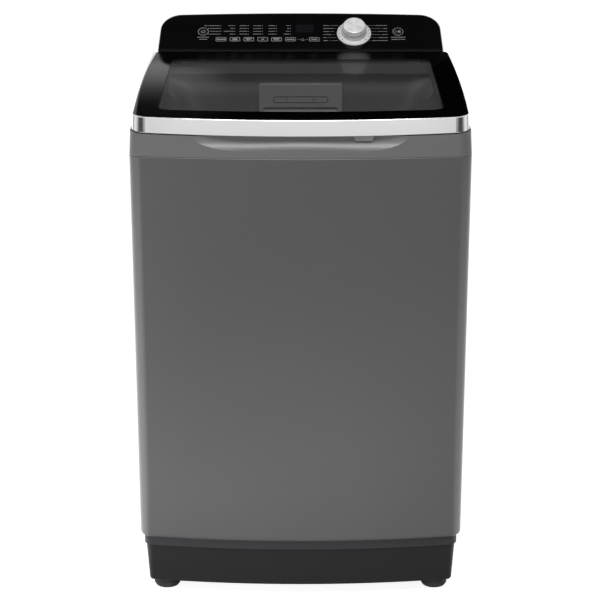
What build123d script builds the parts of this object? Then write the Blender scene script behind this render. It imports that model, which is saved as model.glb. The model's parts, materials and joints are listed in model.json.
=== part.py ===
from build123d import *
from math import atan2, cos, degrees, hypot, pi, radians, sin, sqrt, tan
import os

# Top load washing machine with a bowed front, a glass lid and a sloped control console.
# Millimetres. X runs to the machine's right as seen from the front, Y to the back, Z up.
# The floor is at z = 0 and the origin lies under the middle of the whole machine.

# Casing
cabinet_width = 600.0
cabinet_depth = 600.0
front_bulge = 25.0
front_corner_radius = 25.0
rear_corner_radius = 12.0
sheet = 1.0
hem_radius = 8.0
sheet_flange = 14.0
rear_setback = 4.0
rear_return = 34.0
foot_height = 22.0
base_height = 94.0
cabinet_height = 724.0

# Base plinth
band_height = 17.0
band_inset = 7.0
skirt_inset_top = 10.0
skirt_inset_bottom = 15.0
plinth_wall = 5.0
foot_radius = 25.0
foot_sole_radius = 22.0
foot_inset = 46.0
stud_radius = 5.0
stud_clearance = 0.2
pad_size = 92.0
pad_height = 22.0
pad_lift = 20.0

# Top cover
cover_front_height = 39.5
cover_wall = 3.0
cover_draft = 0.05
cover_corner_radius = 34.0
cover_reach = 120.0
seam_radius = 1.5
mouth_lip = 3.0
mouth_corner_radius = 40.0
collar_drop = 20.0
funnel_flare = 47.0
funnel_reach = 25.0
dispenser_room = 160.0
scoop_radius = 29.5
scoop_shoulder = 33.0
scoop_half_width = 130.0
scoop_forward = 16.0
scoop_end = 65.0
scoop_edge = 26.0

# Lid
lid_slope = 4.965
lid_inset = 8.0
lid_front_rise = 69.7
lid_thickness = 28.0
lid_gap = 1.5
glass_front_inset = 14.5
glass_middle_inset = 5.6
glass_rear_inset = 14.0
glass_bulge = 27.0
glass_thickness = 4.0
glass_clearance = 0.2
rim_front = 2.5
rim_growth = 3.0
rim_corner = 7.0
rim_middle = 3.0
rim_lean = 1.5
bar_lean = 3.9
bar_edge = 0.9
lid_wall = 12.0
lid_ledge = 4.0
window_front_border = 48.0
window_rear_border = 66.5
window_side_border = 49.0
window_bulge = 10.0
buffer_radius = 6.0
buffer_inset = 32.0
buffer_front = 60.0
buffer_rear = 95.5
hinge_drop = 12.0
hinge_overhang = 12.0
hinge_pin_radius = 3.0
hinge_boss_radius = 6.3
hinge_boss_width = 26.0
hinge_inset = 95.0
hinge_eye = 7.0
sweep_clearance = 0.9
run_clearance = 0.06

# Console
console_depth = 114.0
panel_tilt = 37.12
panel_length = 105.2
panel_bottom_inset = 16.0
panel_top_inset = 20.5
panel_crown = 5.8
panel_corner_radius = 42.0
panel_gap = 1.3
fascia_thickness = 3.0
console_rim = 1.5
console_fall = 8.0
console_ledge = 7.0
console_wall = 4.0
console_rear_radius = 6.0
board_depth = 16.0
board_thickness = 1.6
board_inset = 46.0
board_length = 86.0
post_inset = 56.0

# Controls, measured across the fascia from its middle and up from its lower edge
key_width = 23.0
key_length = 13.4
key_pitch = 27.9
key_first = -159.3
key_last = 28.3
key_row = 32.9
key_count = 6
key_proud = 0.9
key_travel = 1.2
key_clearance = 0.35
round_key_radius = 11.2
round_key_offset = 196.5
round_key_row = 53.7
knob_offset = 107.6
knob_row = 49.0
knob_radius = 25.5
knob_top_radius = 24.0
knob_height = 24.0
knob_flutes = 24
dial_radius = 34.3
dial_height = 4.0
dial_lamps = 12
shaft_radius = 3.0
display_left = -10.0
display_right = 26.4
display_low = 51.5
display_high = 74.5

# Dispenser
drawer_width = 158.0
drawer_face_width = 166.6
drawer_face_height = 59.0
drawer_top_gap = 22.0
drawer_depth = 122.0
drawer_wall = 2.4
drawer_travel = 105.0
drawer_clearance = 0.6
drawer_face = 11.0

# Tub and drum
tub_gap = 30.0
tub_wall = 3.0
tub_rim = 5.0
tub_headroom = 46.0
drive_room = 125.0
tub_floor = 4.0
tub_drop = 20.0
tub_lift = 8.0
basket_gap = 17.0
basket_wall_thickness = 1.0
basket_floor_gap = 25.0
ring_gap = 9.0
ring_width = 43.0
ring_height = 60.0
ring_grip = 18.0
pulsator_gap = 77.0
pulsator_vanes = 4
vane_margin = 18.0
filter_height = 210.0
filter_width = 92.0
valve_inset = 75.0
valve_radius = 21.0
valve_bore = 15.0
wash_shaft_radius = 8.45
spin_tube_radius = 15.0

# Motor
rotor_radius = 130.0
rotor_depth = 46.0
rotor_wall = 3.0
magnet_thickness = 4.0
air_gap = 1.5
motor_poles = 24
stator_stack = 28.0

# Suspension
rod_radius = 4.0
rod_inset = 48.0
rod_clearance = 0.4
lug_height = 60.0
lug_radius = 23.0
spring_radius = 14.0
spring_wire = 2.0
spring_turns = 6
cup_radius = 22.0
cup_height = 46.0
seat_radius = 19.0
seat_drop = 112.0
bracket_drop = 31.0
bracket_sheet = 3.0

# Rear panel
pan_depth = 9.0
pan_corner = 30.0
pan_margin = 15.0
bead_width = 30.0
bead_rise = 4.0
bead_lift = 20.0
bead_margin = 220.0

# Service fittings
inlet_radius = 13.2
inlet_length = 16.0
inlet_offset = 150.0
inlet_pocket = 62.0
drain_radius = 16.0
drain_length = 10.0
service_inset = 100.0
service_height = 85.0
gland_bore = 4.2
gland_length = 12.0
screw_radius = 2.0
screw_head_radius = 4.2
screw_head_height = 2.4

# Derived positions
half_width = cabinet_width / 2
y_rear = (cabinet_depth + front_bulge) / 2
y_corner = y_rear - cabinet_depth
y_case_rear = y_rear - rear_setback
drum_y = y_corner + cabinet_depth / 2
beyond = cabinet_width + cabinet_depth
foot_x = half_width - foot_inset
foot_y = cabinet_depth / 2 - foot_inset
hang_x = half_width - rod_inset
hang_y = cabinet_depth / 2 - rod_inset
drain_offset = service_inset - half_width
gland_offset = half_width - service_inset
hinge_offset = half_width - hinge_inset
tub_radius = min(cabinet_width, cabinet_depth) / 2 - tub_gap
basket_radius = tub_radius - basket_gap
ring_outer_radius = tub_radius - ring_gap
ring_inner_radius = ring_outer_radius - ring_width
mouth_radius = ring_inner_radius - mouth_lip
mouth_rear = y_rear - dispenser_room
pulsator_radius = basket_radius - pulsator_gap
glass_length = (cabinet_depth - lid_inset - console_depth) / cos(radians(lid_slope)) - rim_growth - panel_gap
glass_front_half = half_width - glass_front_inset
glass_middle_half = half_width - glass_middle_inset
glass_rear_half = half_width - glass_rear_inset
window_half = half_width - window_side_border
window_rear = glass_length - window_rear_border
panel_bottom_half = half_width - panel_bottom_inset
panel_top_half = half_width - panel_top_inset
z_base = foot_height
z_cabinet = z_base + base_height
z_top = z_cabinet + cabinet_height
slope = tan(radians(lid_slope))
y_lid = y_corner + lid_inset
z_lid = z_top + lid_front_rise
deck_level = -(lid_thickness + lid_gap)
hinge_along = glass_length + rim_growth - hinge_overhang
LOW = (Align.CENTER, Align.CENTER, Align.MIN)
HIGH = (Align.CENTER, Align.CENTER, Align.MAX)

lid_plane = Plane(
    origin=(0, y_lid, z_lid),
    x_dir=(1, 0, 0),
    z_dir=(0, -sin(radians(lid_slope)), cos(radians(lid_slope))),
)


def lid_point(along, above):
    """World (y, z) of a point on the lid, from its distance back and its height over the glass."""
    turn = radians(lid_slope)
    y = y_lid + along * cos(turn) - above * sin(turn)
    z = z_lid + along * sin(turn) + above * cos(turn)
    return y, z


def deck_height(y):
    """World height of the deck under the lid at a given depth."""
    return z_lid + (y - y_lid) * slope + deck_level / cos(radians(lid_slope))


y_hinge, z_hinge = lid_point(hinge_along, -hinge_drop)
y_panel, z_panel = lid_point(glass_length + rim_growth + panel_gap, 0)
panel_plane = Plane(
    origin=(0, y_panel, z_panel),
    x_dir=(1, 0, 0),
    z_dir=(0, -sin(radians(panel_tilt)), cos(radians(panel_tilt))),
)
hinge_sweep = hypot(hinge_overhang, hinge_drop) + sweep_clearance
y_console = y_hinge + hinge_sweep + 1.5


def plan_face(half, corner_y, rear_y, bulge, front_radius, rear_radius):
    """Plan outline with a bowed front, straight sides, a flat rear and rounded corners."""
    with BuildSketch() as plan:
        with BuildLine():
            ThreePointArc((-half, corner_y), (0, corner_y - bulge), (half, corner_y))
            Polyline((half, corner_y), (half, rear_y), (-half, rear_y), (-half, corner_y))
        make_face()
        corners = plan.vertices().sort_by(Axis.Y)
        fillet(corners[:2], front_radius)
        corners = plan.vertices().sort_by(Axis.Y)
        fillet(corners[-2:], rear_radius)
    return plan.sketch


def lid_face(front_half, middle_half, rear_half, front, bulge, rear, front_radius, rear_radius):
    """Lid outline: bowed front, slightly rounded sides, straight rear edge."""
    middle = front + (rear - front) * 0.58
    with BuildSketch() as plan:
        with BuildLine():
            ThreePointArc((-front_half, front), (0, front - bulge), (front_half, front))
            ThreePointArc((front_half, front), (middle_half, middle), (rear_half, rear))
            Line((rear_half, rear), (-rear_half, rear))
            ThreePointArc((-rear_half, rear), (-middle_half, middle), (-front_half, front))
        make_face()
        corners = plan.vertices().sort_by(Axis.Y)
        fillet(corners[:2], front_radius)
        corners = plan.vertices().sort_by(Axis.Y)
        fillet(corners[-2:], rear_radius)
    return plan.sketch


def panel_face(grow, foot):
    """Console outline on the sloped panel: straight foot, crowned top, large rounded top corners."""
    shoulder = panel_length - panel_crown
    lean = (panel_bottom_half - panel_top_half) / shoulder
    with BuildSketch() as plan:
        with BuildLine():
            top = shoulder + grow
            low = panel_bottom_half + grow - lean * foot
            high = panel_bottom_half + grow - lean * top
            Polyline((-high, top), (-low, foot), (low, foot), (high, top))
            ThreePointArc((high, top), (0, top + panel_crown), (-high, top))
        make_face()
        fillet(plan.vertices().sort_by(Axis.Y)[-2:], panel_corner_radius + grow)
    return plan.sketch


def slab(face, low, high):
    """A flat outline raised between two heights."""
    return extrude(Pos(0, 0, low) * face, amount=high - low)


def turned(*points):
    """Solid turned about the drum axis from (radius, height) points."""
    return Pos(0, drum_y, 0) * revolve(Plane.XZ * Polygon(*points, align=None), Axis.Z)


def tube(outer, inner, low, high):
    """Ring about the drum axis."""
    return turned((inner, low), (outer, low), (outer, high), (inner, high))


def around(count, shape, first=0.0):
    """Copies of a shape turned evenly about the drum axis; the shape is drawn about the origin."""
    copies = []
    for index in range(count):
        turn = Rot(0, 0, first + 360.0 * index / count)
        copies.append(Pos(0, drum_y, 0) * turn * shape)
    return copies


def box(x0, x1, y0, y1, z0, z1):
    """Box between two corners."""
    middle = Pos((x0 + x1) / 2, (y0 + y1) / 2, (z0 + z1) / 2)
    return middle * Box(x1 - x0, y1 - y0, z1 - z0)


def rod_x(radius, x0, x1, y, z):
    """Round bar along X."""
    return Pos((x0 + x1) / 2, y, z) * Rot(0, 90, 0) * Cylinder(radius, x1 - x0)


def rod_y(radius, x, y0, y1, z):
    """Round bar along Y."""
    return Pos(x, (y0 + y1) / 2, z) * Rot(90, 0, 0) * Cylinder(radius, y1 - y0)


def joined(shapes):
    """One solid from overlapping pieces."""
    whole = shapes[0]
    for shape in shapes[1:]:
        whole = whole + shape
    return whole


case_face = plan_face(
    half_width, y_corner, y_case_rear, front_bulge, front_corner_radius, rear_corner_radius)
foot_places = [(-foot_x, drum_y - foot_y), (foot_x, drum_y - foot_y)]
rear_foot_places = [(-foot_x, drum_y + foot_y), (foot_x, drum_y + foot_y)]
rod_places = [(side * hang_x, drum_y + end * hang_y) for side in (-1, 1) for end in (-1, 1)]
rear_inner = y_case_rear - sheet
panel_half = half_width - rear_return + sheet_flange
panel_low = z_cabinet + hem_radius + sheet_flange
panel_high = z_top - sheet_flange
screw_x = half_width - rear_return + sheet_flange / 2
screw_rows = [panel_low + (panel_high - panel_low) * part for part in (0.04, 0.36, 0.68, 0.97)]
screw_places = [(side * screw_x, row) for side in (-1, 1) for row in screw_rows]
z_service = panel_low + service_height


def cabinet_shell_piece():
    """Wrapped sheet casing: bowed front and sides, rolled lower hem, flanges, open rear."""
    outer = slab(case_face, z_cabinet, z_top)
    outer = fillet(outer.edges().group_by(Axis.Z)[0], hem_radius)
    outer = fillet(outer.edges().group_by(Axis.Z)[-1], seam_radius)
    hollow = slab(offset(case_face, amount=-sheet), z_cabinet + sheet, z_top - sheet)
    hollow = fillet(hollow.edges().group_by(Axis.Z)[0], hem_radius - sheet)
    top_hole = slab(offset(case_face, amount=-sheet_flange), z_top - 2 * sheet, z_top + sheet)
    low_face = offset(case_face, amount=-hem_radius - sheet_flange)
    low_hole = slab(low_face, z_cabinet - sheet, z_cabinet + 2 * sheet)
    opening = half_width - rear_return
    rear_hole = box(-opening, opening, y_case_rear - 3 * sheet, y_case_rear + sheet,
                    panel_low + sheet_flange, panel_high - sheet_flange)
    shell = outer - hollow - top_hole - low_hole - rear_hole
    for x, z in screw_places:
        shell = shell - rod_y(screw_radius + 0.1, x, y_case_rear - 3 * sheet, y_case_rear + sheet, z)
    return shell


def rear_panel_piece():
    """Pressed rear cover: flat rim behind the casing return, sunk middle with stiffening beads."""
    middle = (panel_low + panel_high) / 2
    height = panel_high - panel_low
    rear_plane = Plane(origin=(0, rear_inner, middle), x_dir=(-1, 0, 0), z_dir=(0, 1, 0))
    plate = slab(RectangleRounded(2 * panel_half, height, 6), -sheet, 0)
    pan_width = 2 * (half_width - rear_return - pan_margin)
    pan_height = height - 6 * pan_margin
    outside = RectangleRounded(pan_width + 2 * sheet, pan_height + 2 * sheet, pan_corner + sheet)
    sunk = slab(RectangleRounded(pan_width, pan_height, pan_corner), -pan_depth, sheet)
    panel = plate + slab(outside, -pan_depth - sheet, 0) - sunk
    bead_face = Rot(0, 0, 90) * SlotOverall(pan_height - bead_margin, bead_width)
    bead = extrude(bead_face, amount=bead_rise, taper=35)
    for place in (-1, 0, 1):
        spot = Pos(place * pan_width / 4, bead_lift, -pan_depth)
        panel = panel + spot * bead - spot * Pos(0, 0, -sheet) * bead
    panel = rear_plane * panel
    for x, z in screw_places:
        panel = panel - rod_y(screw_radius + 0.1, x, rear_inner - 3 * sheet, rear_inner + sheet, z)
    panel = panel - rod_y(drain_radius + 1.4, drain_offset, rear_inner - 30, rear_inner + 5, z_service)
    panel = panel - rod_y(gland_bore + 4.2, gland_offset, rear_inner - 30, rear_inner + 5, z_service)
    return panel


def base_plinth_piece():
    """Two-step plinth ring with a leaning skirt and corner pads that take the feet."""
    band_level = z_cabinet - band_height
    band = slab(offset(case_face, amount=-band_inset), band_level, z_cabinet)
    skirt = loft([
        Pos(0, 0, z_base) * offset(case_face, amount=-skirt_inset_bottom),
        Pos(0, 0, band_level) * offset(case_face, amount=-skirt_inset_top),
    ], ruled=True)
    skirt = fillet(skirt.edges().group_by(Axis.Z)[0], 5)
    inside = offset(case_face, amount=-skirt_inset_bottom - plinth_wall)
    ring = band + skirt - slab(inside, z_base - 1, z_cabinet + 1)
    pad_low = z_base + pad_lift
    core = slab(inside, pad_low, pad_low + pad_height)
    for x, y in foot_places + rear_foot_places:
        side = 1 if x > 0 else -1
        end = 1 if y > drum_y else -1
        corner = Pos(side * half_width, drum_y + end * cabinet_depth / 2, pad_low)
        reach = 2 * foot_inset + pad_size
        pad = (corner * Box(reach, reach, pad_height, align=LOW)) & core
        web = Pos(x, y, z_base) * Cylinder(stud_radius + 8, pad_lift + 2, align=LOW)
        ring = ring + pad + web
    for x, y in foot_places + rear_foot_places:
        ring = ring - Pos(x, y, 0) * Cylinder(stud_radius + stud_clearance, z_cabinet, align=LOW)
    return ring


def foot_piece(x, y):
    """Levelling foot: dished sole on a stud."""
    profile = Polygon(
        (0, 0), (foot_sole_radius, 0), (foot_radius, 5), (foot_radius, 9), (foot_radius - 6, foot_height),
        (stud_radius, foot_height), (stud_radius, z_base + pad_lift + pad_height + 12),
        (stud_radius - 1, z_base + pad_lift + pad_height + 13), (0, z_base + pad_lift + pad_height + 13),
        align=None)
    foot = revolve(Plane.XZ * profile, Axis.Z)
    return Pos(x, y, 0) * foot


def mouth_face(half, front, grow):
    """Loading mouth in plan: round at the front, flat at the rear."""
    rear = mouth_rear + grow
    with BuildSketch() as plan:
        with BuildLine():
            ThreePointArc((-half, drum_y), (0, front), (half, drum_y))
            Polyline((half, drum_y), (half, rear), (-half, rear), (-half, drum_y))
        make_face()
        fillet(plan.vertices().sort_by(Axis.Y)[-2:], mouth_corner_radius + grow)
    return plan.sketch


def mouth_funnel(grow):
    """Loading mouth: wide at the deck, narrowing to a round collar over the drum, upright at the rear."""
    low = mouth_radius + grow
    wide = low + funnel_flare
    collar = Pos(0, 0, z_top - collar_drop) * mouth_face(low, drum_y - low, grow)
    deck = mouth_face(wide, drum_y - low - funnel_reach, grow)
    return loft([collar, Pos(0, 0, deck_height(mouth_rear) + 2 * cover_wall) * deck], ruled=True)


def scoop_body(grow):
    """Finger scoop: a shallow round hollow under the lid's front edge that runs out softly at both ends."""
    end = scoop_half_width + scoop_end + 4 * grow
    with BuildSketch() as profile:
        with BuildLine():
            Spline(
                (-end, scoop_edge + grow), (-scoop_half_width, scoop_shoulder + grow), (0, scoop_radius + grow),
                (scoop_half_width, scoop_shoulder + grow), (end, scoop_edge + grow))
            Polyline((end, scoop_edge + grow), (end, 0), (-end, 0), (-end, scoop_edge + grow))
        make_face()
    return Pos(0, -scoop_forward - y_rear, z_top + cover_front_height) * revolve(profile.sketch, Axis.X)


def cover_face(inset, lift):
    """Top cover outline at a height over the casing, leaning in as it rises."""
    lean = inset + cover_draft * lift
    part = lift / cover_reach
    radius = front_corner_radius + (cover_corner_radius - front_corner_radius) * part - inset
    rear_radius = rear_corner_radius - inset
    return plan_face(half_width - lean, y_corner + lean, y_rear - inset, front_bulge, radius, rear_radius)


def cover_loft(inset):
    """Leaning block of the top cover before it is hollowed."""
    low = Pos(0, 0, z_top) * cover_face(inset, 0)
    high = Pos(0, 0, z_top + cover_reach) * cover_face(inset, cover_reach)
    return loft([low, high], ruled=True)


def above_deck(drop):
    """Everything over the deck plane, lowered by a given amount."""
    spot = Pos(0, cabinet_depth / 2, deck_level - drop)
    return lid_plane * spot * Box(2 * beyond, 2 * beyond, beyond, align=LOW)


z_face_top = deck_height(mouth_rear) - drawer_top_gap
z_face_low = z_face_top - drawer_face_height
z_drawer_low = z_face_low + 4.0
z_drawer_top = z_face_top - 4.0
z_inlet = z_top + inlet_pocket / 2 + 14.0
pocket_depth = inlet_length + 8.0
lock_offset = 109.0
lock_along = 19.0


def top_cover_piece():
    """Moulded top: leaning skirt, sloped deck, loading mouth with collar, finger scoop, hinge posts."""
    outer = cover_loft(0)
    outer = fillet(outer.edges().group_by(Axis.Z)[0], seam_radius) - above_deck(0)
    inner = cover_loft(cover_wall) - above_deck(cover_wall)
    cover = outer - inner
    cover = cover + (mouth_funnel(cover_wall) - above_deck(0))
    cover = cover + (scoop_body(cover_wall) & outer)
    pocket_y = y_rear - pocket_depth
    reach = inlet_pocket / 2 + cover_wall
    pocket = box(inlet_offset - reach, inlet_offset + reach, pocket_y - cover_wall, y_rear - 1,
                 z_inlet - reach, z_inlet + reach)
    cover = cover + pocket
    for side in (-1, 1):
        x0 = side * hinge_offset - hinge_boss_width / 2
        x1 = side * hinge_offset + hinge_boss_width / 2
        post = box(x0, x1, y_hinge - hinge_boss_radius, y_hinge + hinge_boss_radius,
                   deck_height(y_hinge) - cover_wall, z_hinge)
        cover = cover + post + rod_x(hinge_boss_radius, x0, x1, y_hinge, z_hinge)
    cover = cover - mouth_funnel(0)
    cover = cover - scoop_body(0)
    reach = inlet_pocket / 2
    cover = cover - box(inlet_offset - reach, inlet_offset + reach, pocket_y, y_rear + 1,
                        z_inlet - reach, z_inlet + reach)
    cover = cover - rod_y(inlet_radius + 0.5, inlet_offset, pocket_y - 2 * cover_wall, pocket_y + 1, z_inlet)
    cover = cover - rod_x(hinge_pin_radius + run_clearance, -half_width, half_width, y_hinge, z_hinge)
    gap = drawer_width / 2 + drawer_clearance
    cover = cover - box(-gap, gap, mouth_rear - 1, mouth_rear + cover_wall + 1,
                        z_drawer_low - drawer_clearance, z_drawer_top + drawer_clearance)
    spot = lid_plane * Pos(lock_offset, lock_along, deck_level - cover_wall - 1)
    return cover - spot * Box(14, 9, cover_wall + 3, align=LOW)


def glass_face(grow):
    """Glass outline, grown for its seat."""
    return lid_face(
        glass_front_half + grow, glass_middle_half + grow, glass_rear_half + grow,
        -grow, glass_bulge, glass_length + grow, 24 + grow, 12 + grow)


def frame_inner_face(inset):
    """Inside of the lid frame walls."""
    return lid_face(
        glass_front_half + rim_corner - inset, glass_middle_half + rim_middle - inset,
        glass_rear_half + rim_corner - inset, inset - rim_front, glass_bulge,
        glass_length + rim_growth - inset, 30 - inset / 2, 14 - inset / 2)


def frame_face(lean, forward):
    """Lid frame outline, grown by the lean of its side walls and of its front bar."""
    return lid_face(
        glass_front_half + rim_corner + lean, glass_middle_half + rim_middle + lean,
        glass_rear_half + rim_corner + lean, -rim_front - forward, glass_bulge,
        glass_length + rim_growth, 30 + lean, 14)


def window_face(grow):
    """Clear window in the lid: bowed front edge, rounded corners."""
    return lid_face(
        window_half - 2 + grow, window_half + 2 + grow, window_half + 2 + grow,
        window_front_border - grow, window_bulge, window_rear + grow, 14 + grow, 20 + grow)


rear_wall_drop = 20.0
liner_end = glass_length - 36.0


def lid_frame_piece():
    """Bright lid frame: tall front bar, side rails, glass seat with ledge, hinge eyes in the rear wall."""
    foot = Pos(0, 0, -lid_thickness) * frame_face(rim_lean, bar_lean)
    frame = loft([foot, frame_face(0, 0)], ruled=True)
    frame = fillet(frame.edges().group_by(Axis.Z)[-1], 1.8)
    frame = fillet(frame.edges().group_by(Axis.Z)[0], bar_edge)
    hollow = slab(frame_inner_face(lid_wall), -lid_thickness - 1, -glass_thickness - lid_ledge)
    frame = frame - hollow
    frame = frame - slab(glass_face(glass_clearance), -glass_thickness, 5)
    frame = frame - slab(window_face(0), -lid_thickness, 5)
    rear = glass_length + rim_growth
    for side in (-1, 1):
        reach = pin_half + 2
        frame = frame + box(side * hinge_offset - reach, side * hinge_offset + reach, hinge_along - hinge_eye,
                            rear - lid_wall / 2, -rear_wall_drop, -glass_thickness - lid_ledge / 2)
    frame = frame - box(-half_width, half_width, rear - 2.2 * lid_wall, rear + 5,
                        -lid_thickness - 5, -rear_wall_drop)
    for side in (-1, 1):
        reach = hinge_boss_width / 2 + 0.5
        near = hinge_along - hinge_boss_radius - 3
        frame = frame - box(side * hinge_offset - reach, side * hinge_offset + reach, near, rear + 5,
                            -lid_thickness - 5, -glass_thickness)
    frame = lid_plane * frame
    for side in (-1, 1):
        frame = frame - hinge_pin(side)
    return frame


pin_half = hinge_boss_width / 2 + 11.0


def hinge_pin(side):
    """Plain hinge pin on one side of the lid."""
    middle = side * hinge_offset
    return rod_x(hinge_pin_radius, middle - pin_half, middle + pin_half, y_hinge, z_hinge)


def hinge_pins_piece():
    """Two plain hinge pins."""
    return Compound(children=[hinge_pin(-1), hinge_pin(1)])


def lid_glass_piece():
    """Tempered pane with softened upper edge."""
    pane = slab(glass_face(0), -glass_thickness, 0)
    pane = fillet(pane.edges().group_by(Axis.Z)[-1], 1.2)
    return lid_plane * pane


def lid_liner_piece():
    """Inner lining that closes the frame from below round the window."""
    outline = frame_inner_face(lid_wall + 0.3)
    outline = outline & (Pos(0, liner_end - 400) * Rectangle(3 * half_width, 800))
    plate = slab(outline, -lid_thickness, -lid_thickness + 2.5)
    rim = slab(window_face(2.5), -lid_thickness, -glass_thickness - lid_ledge)
    liner = plate + rim - slab(window_face(0), -lid_thickness - 1, 0)
    slot = Pos(lock_offset, lock_along, -lid_thickness - 1) * Box(16, 11, 6, align=LOW)
    return lid_plane * (liner - slot)


def latch_tab_piece():
    """Small tapered tab under the front bar."""
    drop = 10.0
    tab_setback = 2.0
    top = Pos(lock_offset, 0, -lid_thickness) * Rectangle(38, 4)
    low = Pos(lock_offset, 0, -lid_thickness - drop) * Rectangle(28, 3)
    tab = loft([low, top])
    bow = glass_bulge * (1 - (lock_offset / glass_front_half) ** 2)
    return lid_plane * Pos(0, -bow - rim_front + tab_setback, 0) * tab


def lid_buffers_piece():
    """Soft round buffers that the lid closes on."""
    pads = []
    height = lid_gap - 0.3
    for side in (-1, 1):
        for along in (buffer_front, glass_length - buffer_rear):
            spot = Pos(side * (half_width - buffer_inset), along, -lid_thickness)
            pads.append(lid_plane * spot * Cylinder(buffer_radius, height, align=HIGH))
    return Compound(children=pads)


def lid_lock_piece():
    """Lock box under the deck with its bolt standing in the deck slot."""
    top = deck_level - cover_wall
    case = Pos(lock_offset, lock_along + 1, top) * Box(62, 30, 24, align=HIGH)
    case = fillet(case.edges().filter_by(Axis.Z), 3)
    bolt = Pos(lock_offset, lock_along, top - 4) * Box(12, 7, cover_wall + 3.5, align=LOW)
    return lid_plane * (case + bolt)


def console_prism(grow, foot):
    """Console volume: the panel outline carried back, with a top that falls towards the rear."""
    face = panel_plane * panel_face(grow, foot)
    fall = radians(console_fall)
    return extrude(face, amount=2 * cabinet_depth, dir=(0, cos(fall), -sin(fall)))


def console_housing_piece():
    """Hollow console: sloped front rim that frames the fascia, top, sides, rear wall and foot."""
    far = y_rear - 1.0
    sunk = -(z_panel - z_top) / sin(radians(panel_tilt))
    outer = console_prism(console_rim, sunk)
    outer = outer & box(-cabinet_width, cabinet_width, y_lid, far, z_top, z_panel + beyond)
    rear_edges = outer.edges().filter_by(lambda e: abs(e.center().Y - far) < 0.01)
    outer = fillet(rear_edges.sort_by(Axis.Z)[1:], console_rear_radius)
    outer = outer - box(-cabinet_width, cabinet_width, -cabinet_depth, y_console, 0, z_panel) - under_deck()
    foot_half = panel_bottom_half + console_rim
    inside = box(-cabinet_width, cabinet_width, y_lid, far - console_wall, z_top, z_panel + beyond)
    hollow = console_prism(console_rim - console_ledge, 8) & inside
    foot_void = box(-foot_half + console_wall, foot_half - console_wall, y_console + console_wall,
                    far - console_wall, z_top, z_panel + 6)
    seat = panel_plane * slab(panel_face(0.25, -2), -fascia_thickness, 30)
    housing = outer - hollow - foot_void - seat
    return housing - rod_x(hinge_sweep, -half_width, half_width, y_hinge, z_hinge)


def under_deck():
    """Everything under the deck plane."""
    spot = Pos(0, cabinet_depth / 2, deck_level)
    return lid_plane * spot * Box(2 * beyond, 2 * beyond, beyond, align=HIGH)


key_places = [key_first + key_pitch * index for index in range(key_count)] + [key_last]
lamp_radius = dial_radius - 4.0
dial_rows = [knob_row + 25.2 - 8.78 * index for index in range(dial_lamps // 2)]
post_half = panel_bottom_half - post_inset
post_places = [(x, u) for x in (-post_half, -92, 62, post_half) for u in (20, 88)]


def control_fascia_piece():
    """Gloss panel with openings for keys, dial and display, and posts that carry the board."""
    plate = slab(panel_face(0, 0.6), -fascia_thickness, 0)
    foot = plate.edges().filter_by(Axis.X).group_by(Axis.Y)[0].sort_by(Axis.Z)[-1]
    plate = chamfer(foot, 1.2, 6.5)
    for x in key_places:
        size = 2 * key_clearance
        hole = Pos(x, key_row) * RectangleRounded(key_width + size, key_length + size, 2.5)
        plate = plate - slab(hole, -5, 5)
    for side in (-1, 1):
        hole = Pos(side * round_key_offset, round_key_row) * Circle(round_key_radius + key_clearance)
        plate = plate - slab(hole, -5, 5)
    plate = plate - slab(Pos(knob_offset, knob_row) * Circle(shaft_radius + 4), -5, 5)
    plate = plate - slab(display_face(0.1), -5, 5)
    for x, u in post_places:
        post = Pos(x, u, -board_depth) * Cylinder(3.5, board_depth - fascia_thickness + 0.5, align=LOW)
        plate = plate + post
    plate = panel_plane * plate
    return plate - rod_x(hinge_sweep, -half_width, half_width, y_hinge, z_hinge)


def display_face(grow):
    """Display window outline."""
    width = display_right - display_left + 2 * grow
    height = display_high - display_low + 2 * grow
    spot = Pos((display_left + display_right) / 2, (display_low + display_high) / 2)
    return spot * RectangleRounded(width, height, 2)


def display_lens_piece():
    """Smoked lens flush with the fascia, with a flange behind it."""
    lens = slab(display_face(0), -fascia_thickness, 0)
    flange = slab(display_face(2), -fascia_thickness - 1.4, -fascia_thickness)
    return panel_plane * (lens + flange)


def key_piece(outline, flange):
    """Push key: cap in the fascia, retaining flange behind it, plunger to its switch."""
    cap = slab(outline, -fascia_thickness, key_proud)
    cap = fillet(cap.edges().group_by(Axis.Z)[-1], 0.5)
    back = slab(flange, -fascia_thickness - 1.4, -fascia_thickness)
    spot = outline.center()
    stem = Pos(spot.X, spot.Y, -11) * Cylinder(3, 8, align=LOW)
    return panel_plane * (cap + back + stem)


def rectangular_key(x):
    outline = Pos(x, key_row) * RectangleRounded(key_width, key_length, 2.2)
    flange = Pos(x, key_row) * RectangleRounded(key_width + 3, key_length + 3, 2.2)
    return key_piece(outline, flange)


def round_key(x):
    outline = Pos(x, round_key_row) * Circle(round_key_radius)
    flange = Pos(x, round_key_row) * Circle(round_key_radius + 1.6)
    return key_piece(outline, flange)


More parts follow.
